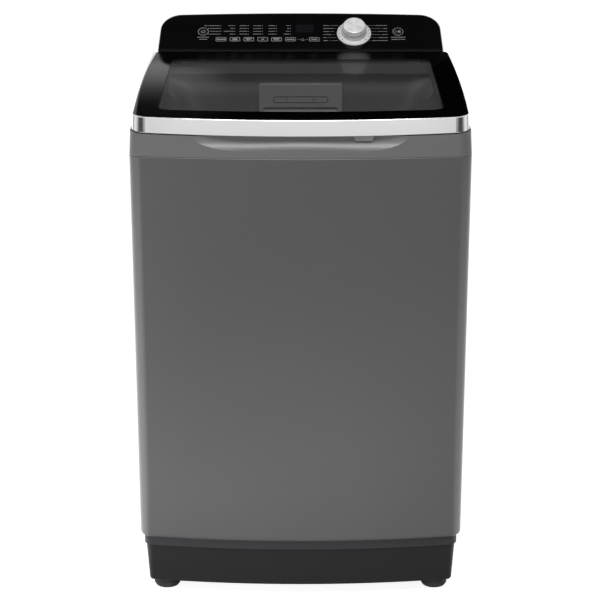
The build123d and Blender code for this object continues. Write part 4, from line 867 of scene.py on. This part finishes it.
class WASHER_OT_casing(bpy.types.Operator):
    """Finishes the casing with its feet, its cover and what is fixed to it"""

    bl_idname = "washer.casing"
    bl_label = "Casing"

    def execute(self, context):
        dress("casing", "front_foot_left", "front_foot_right")
        return {"FINISHED"}


class WASHER_OT_lid(bpy.types.Operator):
    """Finishes the lid frame, its glass and lining"""

    bl_idname = "washer.lid"
    bl_label = "Lid"

    def execute(self, context):
        dress("lid")
        return {"FINISHED"}


# Printed controls, measured across the panel from its middle and up from its lower edge

KEY_CENTRES = np.array([-159.3, -131.4, -103.5, -75.6, -47.7, -19.8, 28.3]) * MM
KEY_PRINT_SHIFT = -0.8 * MM
KEY_ROW = 32.0 * MM
KEY_HALF = np.array([10.0, 5.1]) * MM
KEY_CORNER = 1.8 * MM
KEY_PROUD = 0.9 * MM
KEY_WORD_RISE = 1.7 * MM
KEY_WORDS = ((17.0,), (9.0, 11.0), (13.0, 9.0), (6.0,), (13.0, 9.0), (15.0,), (12.0,))
ROUND_KEY = np.array([196.5, 53.7]) * MM
ROUND_KEY_LINE = 10.5 * MM
ROUND_KEY_WORDS = ((-1, ((24.0, 38.7), (17.0, 32.9))), (1, ((29.0, 38.6), (27.5, 32.6))))
ROUND_WORD_SHARE = 1.3
STANDBY_RADIUS = 3.6 * MM
STANDBY_ARC = (radians(125), radians(290))
STANDBY_STROKE = np.array([0.8, 4.6]) * MM
START_ARROW = np.array([[-5.4, -3.0], [-1.0, 0.0], [-5.4, 3.0]]) * MM
PAUSE_BARS = np.array([1.2, 3.6]) * MM
PAUSE_WIDTH = 0.9 * MM
PAUSE_HALF = 3.0 * MM
LAMP_COLUMNS = np.array([-161.5, -133.0, -105.7, -77.3, -49.1, -20.5]) * MM
LAMP_ROWS = np.array([71.2, 63.3, 55.3, 47.4]) * MM
LAMP_WORDS = ((31.0, 23.7, 20.0, 23.0), (11.5, 7.0, 20.0, 8.0), (15.5,) * 4, (16.6,) * 4, (13.7,) * 4,
              (6.0, 5.0, 7.0, 11.5))
WORD_TO_LAMP = 2.2 * MM
PANEL_DOT = 0.85 * MM
DIAL_ROWS = np.array([71.7, 63.2, 54.7, 46.1, 37.6, 29.1]) * MM
DIAL_LEFT_EDGE = 45.6 * MM
DIAL_LEFT = ((58.1, 60.0, 76.2), (66.6, 69.0, 71.9), (58.6, 60.5, 68.2), (62.5, 65.3, 69.4),
             (52.8, 55.2, 71.9), (56.2, 58.6, 76.2))
DIAL_RIGHT_EDGE = 175.2 * MM
DIAL_RIGHT = ((135.2, 149.9, 151.8), (140.2, 164.5, 166.8), (142.2, 153.1, 155.4), (142.2, 162.3, 164.8),
              (140.2, 153.3, 155.9), (135.0, 140.6, 143.6))
HOLD_MARK = np.array([-6.1, 14.5]) * MM
HOLD_GAP = 4.0 * MM
HOLD_WORDS = np.array([[5.2, 2.0], [6.8, -2.0]]) * MM
LAMP_REACH = 30.3 * MM
LAMP_FLOOR = 2.0 * MM
LAMP_TOP = 3.2 * MM
LAMP_DOT = 1.25 * MM
FIGURE_CENTRES = np.array([-2.0, 9.7, 19.9]) * MM
FIGURE_ROW = 63.0 * MM
FIGURE_WIDTH = 7.0 * MM
FIGURE_HEIGHT = 15.0 * MM
FIGURE_BAR = 1.3 * MM


def print_panel(sizes):
    """Marks on the panel: lamp dots and dial leaders with their words, and the words under the keys."""
    tall = sizes.text_height
    line = sizes.line
    boxes = []
    for column, (centre, widths) in enumerate(zip(LAMP_COLUMNS, LAMP_WORDS)):
        right = centre - WORD_TO_LAMP
        for row, (up, width) in enumerate(zip(LAMP_ROWS, widths)):
            boxes.append(words(right - width * MM, right, up, tall, 10 * column + row))
    for row, up in enumerate(DIAL_ROWS):
        word_end, first, last = np.array(DIAL_LEFT[row]) * MM
        boxes.append(words(DIAL_LEFT_EDGE, word_end, up, tall, 100 + row))
        boxes.append(stroke(first, last, up, line))
        first, last, word_start = np.array(DIAL_RIGHT[row]) * MM
        boxes.append(words(word_start, DIAL_RIGHT_EDGE, up, tall, 120 + row))
        boxes.append(stroke(first, last, up, line))
    for side, rows in ROUND_KEY_WORDS:
        for width, up in rows:
            middle = side * ROUND_KEY[0]
            boxes.append(middle_words(middle, width * MM, up * MM, ROUND_WORD_SHARE * tall, 140 + int(up)))
    middle = HOLD_MARK.mean()
    boxes.append(stroke(HOLD_MARK[0], middle - HOLD_GAP, KEY_ROW, line))
    boxes.append(stroke(middle + HOLD_GAP, HOLD_MARK[1], KEY_ROW, line))
    for row, (width, rise) in enumerate(HOLD_WORDS):
        boxes.append(middle_words(middle, width, KEY_ROW + rise, tall, 160 + row))
    x, up = (part.ravel() for part in np.meshgrid(LAMP_COLUMNS, LAMP_ROWS))
    dots = discs(x, up, PANEL_DOT, 0.0, sizes.ink)
    new_piece("panel_print", [bars(np.concatenate(boxes), 0.0, sizes.ink), dots], "casing", printed_words)


def print_keys(sizes):
    """Outline and words on each key; a standby sign and a start-and-hold sign on the round keys."""
    low, high = KEY_PROUD, KEY_PROUD + sizes.ink
    line = sizes.line
    for number, centre in enumerate(KEY_CENTRES + KEY_PRINT_SHIFT, start=1):
        edge = round_box(centre, KEY_ROW, *(KEY_HALF - line / 2), KEY_CORNER)
        rows = KEY_WORDS[number - 1]
        marks = []
        for row, width in enumerate(rows):
            up = KEY_ROW + (len(rows) - 1 - 2 * row) * KEY_WORD_RISE
            marks.append(middle_words(centre, width * MM, up, sizes.text_height, 200 + number))
        parts = [ribbon(*edge, line, low, high, True), bars(np.concatenate(marks), low, high)]
        new_piece(f"key_{number}_print", parts, body_of[f"key_{number}"], printed)
    for node, side in (("power_button", -1), ("start_button", 1)):
        x, up = side * ROUND_KEY[0], ROUND_KEY[1]
        parts = [ring_line(x, up, ROUND_KEY_LINE - line / 2, line, low, high)]
        if side < 0:
            parts.append(ring_line(x, up, STANDBY_RADIUS, line, low, high, *STANDBY_ARC, 32))
            parts.append(bars([[x - line / 2, x + line / 2, *(up + STANDBY_STROKE)]], low, high))
        else:
            parts.append(ribbon(x + START_ARROW[:, 0], up + START_ARROW[:, 1], line, low, high, True))
            for left in x + PAUSE_BARS:
                right = left + PAUSE_WIDTH
                parts.append(bars([[left, right, up - PAUSE_HALF, up + PAUSE_HALF]], low, high))
        new_piece(f"{node}_print", parts, body_of[node], printed)


def mark_display(sizes):
    """Unlit figures behind the smoked lens: three level bars and four upright ones for each figure."""
    half = FIGURE_WIDTH / 2
    bar = FIGURE_BAR
    boxes = []
    for centre in FIGURE_CENTRES:
        for up in FIGURE_ROW + FIGURE_HEIGHT * np.array([-0.5, 0.0, 0.5]):
            boxes.append([centre - half + bar, centre + half - bar, up - bar / 2, up + bar / 2])
        for edge in (centre - half, centre + half):
            for middle in (FIGURE_ROW - FIGURE_HEIGHT / 4, FIGURE_ROW + FIGURE_HEIGHT / 4):
                reach = FIGURE_HEIGHT / 4 - bar
                boxes.append([edge - bar / 2, edge + bar / 2, middle - reach, middle + reach])
    new_piece("display_figures", [bars(boxes, 0.0, sizes.ink)], "casing", unlit_figures)


# Knob: reach and height of its profile, with flutes on its side and dimples on its bevel
KNOB_PROFILE = np.array([
    [0.0, -14.5], [3.0, -14.5], [3.0, 4.5], [25.1, 4.5], [25.5, 4.9], [25.5, 6.4], [25.2, 7.0], [24.9, 8.0],
    [24.5, 16.6], [24.3, 17.4], [21.6, 22.8], [21.2, 23.4], [20.6, 23.8], [19.8, 24.0], [18.6, 24.0],
    [10.0, 23.7], [0.0, 23.6],
]) * MM
KNOB_COLUMNS = 384
SIDE_ROWS = np.linspace(7, 8, 10)[:-1]
BEVEL_ROWS = np.linspace(9, 10, 12)[:-1]
FLUTE_DEPTH = 0.45 * MM
FLUTE_SPAN = (8.2 * MM, 16.8 * MM, 2.0 * MM)
DIMPLE_DEPTH = 0.5 * MM
DIMPLE_SPAN = (18.0 * MM, 22.4 * MM, 1.0 * MM)


def turn_knob(sizes):
    """Dial knob: a turned profile whose side is fluted and whose bevel is dimpled by powers of a wave."""
    def relief(height, angle):
        flute = window(height, *FLUTE_SPAN) * (0.5 + 0.5 * np.cos(sizes.flutes * angle)) ** 2
        dimple = window(height, *DIMPLE_SPAN) * (0.5 + 0.5 * np.sin(KNURLS * angle)) ** 3
        return -FLUTE_DEPTH * flute - DIMPLE_DEPTH * dimple

    rows = np.concatenate([np.arange(7), SIDE_ROWS, [8], BEVEL_ROWS, np.arange(10, len(KNOB_PROFILE))])
    body = lathe(rows, *KNOB_PROFILE.T, KNOB_COLUMNS, knob_spot, across, panel_up, panel_out, relief)
    new_piece("knob_turned", [body], "knob", knob_silver, ("program_knob",), 50.0)


def dot_dial():
    """Lamp dots of the dial ring: where each row of words meets the circle of lamps, on both sides."""
    rise = DIAL_ROWS - DIAL_ROW
    reach = np.sqrt(LAMP_REACH**2 - rise**2)
    x = knob_spot[0] + np.concatenate([reach, -reach])
    up = DIAL_ROW + np.concatenate([rise, rise])
    new_piece("dial_dots", [discs(x, up, LAMP_DOT, LAMP_FLOOR, LAMP_TOP)], "casing", dark_dot)


class WASHER_OT_console(bpy.types.Operator):
    """Finishes the knob and keys and prints the panel's marks"""

    bl_idname = "washer.console"
    bl_label = "Console"

    def execute(self, context):
        dress("knob", "power_key", "start_key", *[f"function_key_{number}" for number in range(1, 8)])
        sizes = context.scene.washer_sizes
        print_panel(sizes)
        print_keys(sizes)
        mark_display(sizes)
        turn_knob(sizes)
        dot_dial()
        return {"FINISHED"}


LABEL_MIDDLE = np.array([0.0, 863.5]) * MM
LABEL_HALF = np.array([54.3, 5.8]) * MM
LABEL_MARKS = np.array([-27.0, 24.5, 29.5]) * MM
LABEL_MARK_HALF = np.array([0.6, 2.6]) * MM
LABEL_LINE = 1.2 * MM


def print_drawer(sizes):
    """Dark outline on the raised label of the drawer, with one stroke at its left and two at its right."""
    edge = round_box(*LABEL_MIDDLE, *LABEL_HALF, LABEL_HALF[1], 10)
    half, tall = LABEL_MARK_HALF
    up = LABEL_MIDDLE[1]
    strokes = [[mark - half, mark + half, up - tall, up + tall] for mark in LABEL_MARKS]
    outline = ribbon(*edge, LABEL_LINE, 0.0, sizes.ink, True, on_drawer)
    new_piece("drawer_print", [outline, bars(strokes, 0.0, sizes.ink, on_drawer)], "drawer", dark_dot)


class WASHER_OT_dispenser(bpy.types.Operator):
    """Finishes the dispenser drawer"""

    bl_idname = "washer.dispenser"
    bl_label = "Dispenser"

    def execute(self, context):
        dress("drawer")
        print_drawer(context.scene.washer_sizes)
        return {"FINISHED"}


SPRING_REACH = 14.0 * MM
SPRING_WIRE = 2.0 * MM
SPRING_TURNS = 6
TURN_STEPS = 24
WIRE_SIDES = 8


def wind_springs():
    """Four springs: a wire's circle carried along a helix, leaning with the helix's rise."""
    low, high = (np.array(corner, float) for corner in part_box("suspension_springs"))
    inset = SPRING_REACH + SPRING_WIRE
    turn = np.linspace(0, 2 * pi * SPRING_TURNS, TURN_STEPS * SPRING_TURNS + 1)[:, None]
    rise = (high[2] - low[2] - 2 * SPRING_WIRE) / (2 * pi * SPRING_TURNS)
    angle = np.linspace(0, 2 * pi, WIRE_SIDES, endpoint=False)[None]
    pitch = atan2(rise, SPRING_REACH)
    reach = SPRING_REACH + SPRING_WIRE * np.cos(angle)
    lean = SPRING_WIRE * np.sin(angle)
    x = reach * np.cos(turn) + lean * sin(pitch) * np.sin(turn)
    y = reach * np.sin(turn) - lean * sin(pitch) * np.cos(turn)
    z = low[2] + SPRING_WIRE + rise * turn + lean * cos(pitch)
    coil = np.stack([x, y, z], axis=2)
    tube = weave(len(turn), WIRE_SIDES, False, True)
    first = np.arange(WIRE_SIDES)
    last = first + WIRE_SIDES * (len(turn) - 1)
    steps = range(1, WIRE_SIDES - 2, 2)
    caps = np.array([end[[0, step, step + 1, step + 2]] for end in (first, last) for step in steps])
    parts = []
    for side_x in (low[0] + inset, high[0] - inset):
        for side_y in (low[1] + inset, high[1] - inset):
            parts.append((coil + np.array([side_x, side_y, 0.0]), np.concatenate([tube, caps])))
    ends = ((0, 0, low[2]), (0, 0, high[2]))
    new_piece("springs_wound", parts, "casing", spring_steel, ("suspension_springs",), 50.0,
              ("tub", *ends))


class WASHER_OT_drum(bpy.types.Operator):
    """Finishes the tub, drum and drive and winds the springs"""

    bl_idname = "washer.drum"
    bl_label = "Drum"

    def execute(self, context):
        dress("tub", "basket", "drive")
        wind_springs()
        return {"FINISHED"}


# Stage


def stage_object(name, data):
    """An object of the stage, linked to the scene."""
    holder = bpy.data.objects.new(name, data)
    bpy.context.scene.collection.objects.link(holder)
    return holder


# Lamps: name, place, aim, width and height, and whether mirrors show it
LAMPS = (
    ("key", (-2.4, -2.4, 0.26), (0.0, 0.0, 0.25), (1.4, 0.48), False),
    ("overhead", (0.0, -1.5, 2.7), (0.0, -0.3, 0.8), (1.5, 0.9), True),
    ("low", (-0.25, -0.92, 0.03), (0.0, -0.3, 0.12), (1.8, 0.36), False),
)


def soft_box(name, place, aim, size, mirrored, power):
    """A rectangular lamp that points from its place to its aim."""
    lamp = bpy.data.lights.new(name, "AREA")
    lamp.shape = "RECTANGLE"
    lamp.size, lamp.size_y = size
    lamp.energy = power
    holder = stage_object(name, lamp)
    holder.visible_glossy = mirrored
    holder.location = place
    holder.rotation_euler = (Vector(aim) - Vector(place)).to_track_quat("-Z", "Y").to_euler()


def stage_sheet(name, points, material):
    """A sheet of the stage from a grid of points."""
    mesh = bpy.data.meshes.new(name)
    rows, columns = points.shape[:2]
    mesh.from_pydata(points.reshape(-1, 3).tolist(), [], weave(rows, columns).tolist())
    mesh.materials.append(material)
    holder = stage_object(name, mesh)
    return holder


def flag(name, points, opening):
    """A black flag that only mirrors see; the opening gives how dense it is from place to place."""
    cloth = Finish(name)
    cloth.feed({"Base Color": (0.0, 0.0, 0.0, 1.0), "Specular IOR Level": 0.0, "Alpha": opening(cloth)})
    sheet = stage_sheet(name, points, cloth.material)
    sheet.visible_camera = False
    sheet.visible_diffuse = False
    sheet.visible_shadow = False


SENSOR_WIDTH = 36.0


def set_camera(stage):
    """Camera at the height, tilt and lens of the photograph."""
    camera = bpy.data.cameras.new("camera")
    camera.lens = stage.lens
    camera.sensor_width = SENSOR_WIDTH
    camera.shift_x = stage.slide
    camera.shift_y = stage.rise
    holder = stage_object("camera", camera)
    holder.location = (0.0, -stage.distance, stage.height)
    holder.rotation_euler = (radians(90.0 - stage.pitch), 0.0, 0.0)
    bpy.context.scene.camera = holder


def set_world(stage):
    """White surroundings for the camera, mirrors and glass, and a dimmer white sky for matt surfaces."""
    world = bpy.data.worlds.new("studio")
    world.use_nodes = True
    network = Network(world.node_tree)
    seen = network.node("ShaderNodeLightPath", output="Is Camera Ray")
    seen = seen.most(network.node("ShaderNodeLightPath", output="Is Glossy Ray"))
    seen = seen.most(network.node("ShaderNodeLightPath", output="Is Transmission Ray"))
    strength = seen * (1.0 - stage.ambient) + stage.ambient
    sky = network.node("ShaderNodeBackground", None, {"Color": (1, 1, 1, 1), "Strength": strength})
    network.node("ShaderNodeOutputWorld", None, {"Surface": sky}, None)
    bpy.context.scene.world = world


# Floor that mirrors see: far ahead and far aside, and nearer beside the machine behind a slanting edge
FLOOR_REACH = 30.0
FLOOR_DROP = 0.4 * MM
FAR_AHEAD = (-6.0, -8.0)
FAR_ASIDE = (5.0, 6.5)
BESIDE_SLANT = 0.75
BESIDE_EDGE = (0.06, 0.30)
BESIDE_END = (4.0, 3.6)
BESIDE_TURN = (-0.1, 0.1)


def set_floor(stage):
    """Wide pale floor: white for the camera and, in places, for mirrors; it takes the contact shadow."""
    pale = Finish("floor")
    wide = abs(pale.x)
    far = pale.y.remap(*FAR_AHEAD).most(wide.remap(*FAR_ASIDE))
    beside = (wide + BESIDE_SLANT * pale.y).remap(*BESIDE_EDGE) * wide.remap(*BESIDE_END)
    beside = beside * pale.x.remap(*BESIDE_TURN, stage.beside_left, stage.beside_right)
    mirror = pale.node("ShaderNodeLightPath", output="Is Glossy Ray") * far.most(beside)
    seen = mirror.most(pale.node("ShaderNodeLightPath", output="Is Camera Ray"))
    white = pale.node("ShaderNodeCombineColor", None, {"Red": seen, "Green": seen, "Blue": seen})
    pale.feed({"Base Color": (0.9, 0.9, 0.9, 1), "Roughness": 0.9, "Specular IOR Level": 0.0,
               "Emission Color": white, "Emission Strength": stage.floor_glow})
    reach = np.array([-FLOOR_REACH, FLOOR_REACH])
    x, y = np.meshgrid(reach, reach)
    stage_sheet("floor", np.stack([x, y, np.full_like(x, -FLOOR_DROP)], axis=2), pale.material)


# Flags: a vault behind and over the machine, open at its left and at its foot, and two upright screens
VAULT_REACH = 2.6
VAULT_MIDDLE = (-0.1, 0.9)
VAULT_TURN = np.radians(np.linspace(8, 98, 25))
VAULT_ACROSS = np.linspace(-1.6, 1.6, 17)
VAULT_LEFT = (-0.42, -0.22)
VAULT_FOOT = (1.72, 1.82)
SCREEN_REACH = 3.2
SCREEN_TURN = np.radians(np.linspace(12, 112, 33))
SCREEN_RISE = np.array([0.25, 1.3])
SCREEN_DENSE = 0.93
SCREEN_FRONT = (-3.04, -2.2)
SCREEN_REAR = (0.3, -1.6)


def vault_cloth(cloth):
    """Dense right of the opening and above the foot."""
    return cloth.x.remap(*VAULT_LEFT).most(cloth.z.remap(*VAULT_FOOT))


def screen_cloth(cloth):
    """Dense between a soft front and a softer rear edge."""
    return SCREEN_DENSE * cloth.y.remap(*SCREEN_FRONT) * cloth.y.remap(*SCREEN_REAR)


def set_flags():
    """An arch carried across behind and over the machine, and an upright arc at each side of the camera."""
    turn, x = np.meshgrid(VAULT_TURN, VAULT_ACROSS, indexing="ij")
    y = VAULT_MIDDLE[0] + VAULT_REACH * np.cos(turn)
    z = VAULT_MIDDLE[1] + VAULT_REACH * np.sin(turn)
    flag("rear_flag", np.stack([x, y, z], axis=2), vault_cloth)
    turn, z = np.meshgrid(SCREEN_TURN, SCREEN_RISE, indexing="ij")
    for side in (-1, 1):
        arc = np.stack([side * SCREEN_REACH * np.sin(turn), -SCREEN_REACH * np.cos(turn), z], axis=2)
        flag(f"side_flag_{side + 1}", arc, screen_cloth)


class WASHER_OT_stage(bpy.types.Operator):
    """Adds the floor, the light and the camera"""

    bl_idname = "washer.stage"
    bl_label = "Stage"

    def execute(self, context):
        stage = context.scene.washer_stage
        context.scene.view_settings.view_transform = "Standard"
        set_camera(stage)
        set_world(stage)
        set_floor(stage)
        set_flags()
        for lamp in LAMPS:
            soft_box(*lamp, getattr(stage, lamp[0]))
        return {"FINISHED"}


class WASHER_PT_panel(bpy.types.Panel):
    """Lists the steps that dress the machine"""

    bl_label = "Washer"
    bl_idname = "WASHER_PT_panel"
    bl_space_type = "VIEW_3D"
    bl_region_type = "UI"
    bl_category = "Washer"

    def draw(self, context):
        for operator in operators:
            self.layout.operator(operator.bl_idname)


operators = (WASHER_OT_casing, WASHER_OT_lid, WASHER_OT_console, WASHER_OT_dispenser, WASHER_OT_drum,
             WASHER_OT_stage)
settings = {"washer_sizes": WasherSizes, "washer_colours": WasherColours, "washer_stage": WasherStage}


def register():
    for group in (*settings.values(), *operators, WASHER_PT_panel):
        bpy.utils.register_class(group)
    for name, group in settings.items():
        setattr(bpy.types.Scene, name, PointerProperty(type=group))


def unregister():
    for name in settings:
        delattr(bpy.types.Scene, name)
    for group in (WASHER_PT_panel, *reversed(operators), *settings.values()):
        bpy.utils.unregister_class(group)


def main():
    register()
    bpy.ops.washer.casing()
    bpy.ops.washer.lid()
    bpy.ops.washer.console()
    bpy.ops.washer.dispenser()
    bpy.ops.washer.drum()
    bpy.ops.washer.stage()


if __name__ == "__main__":
    main()
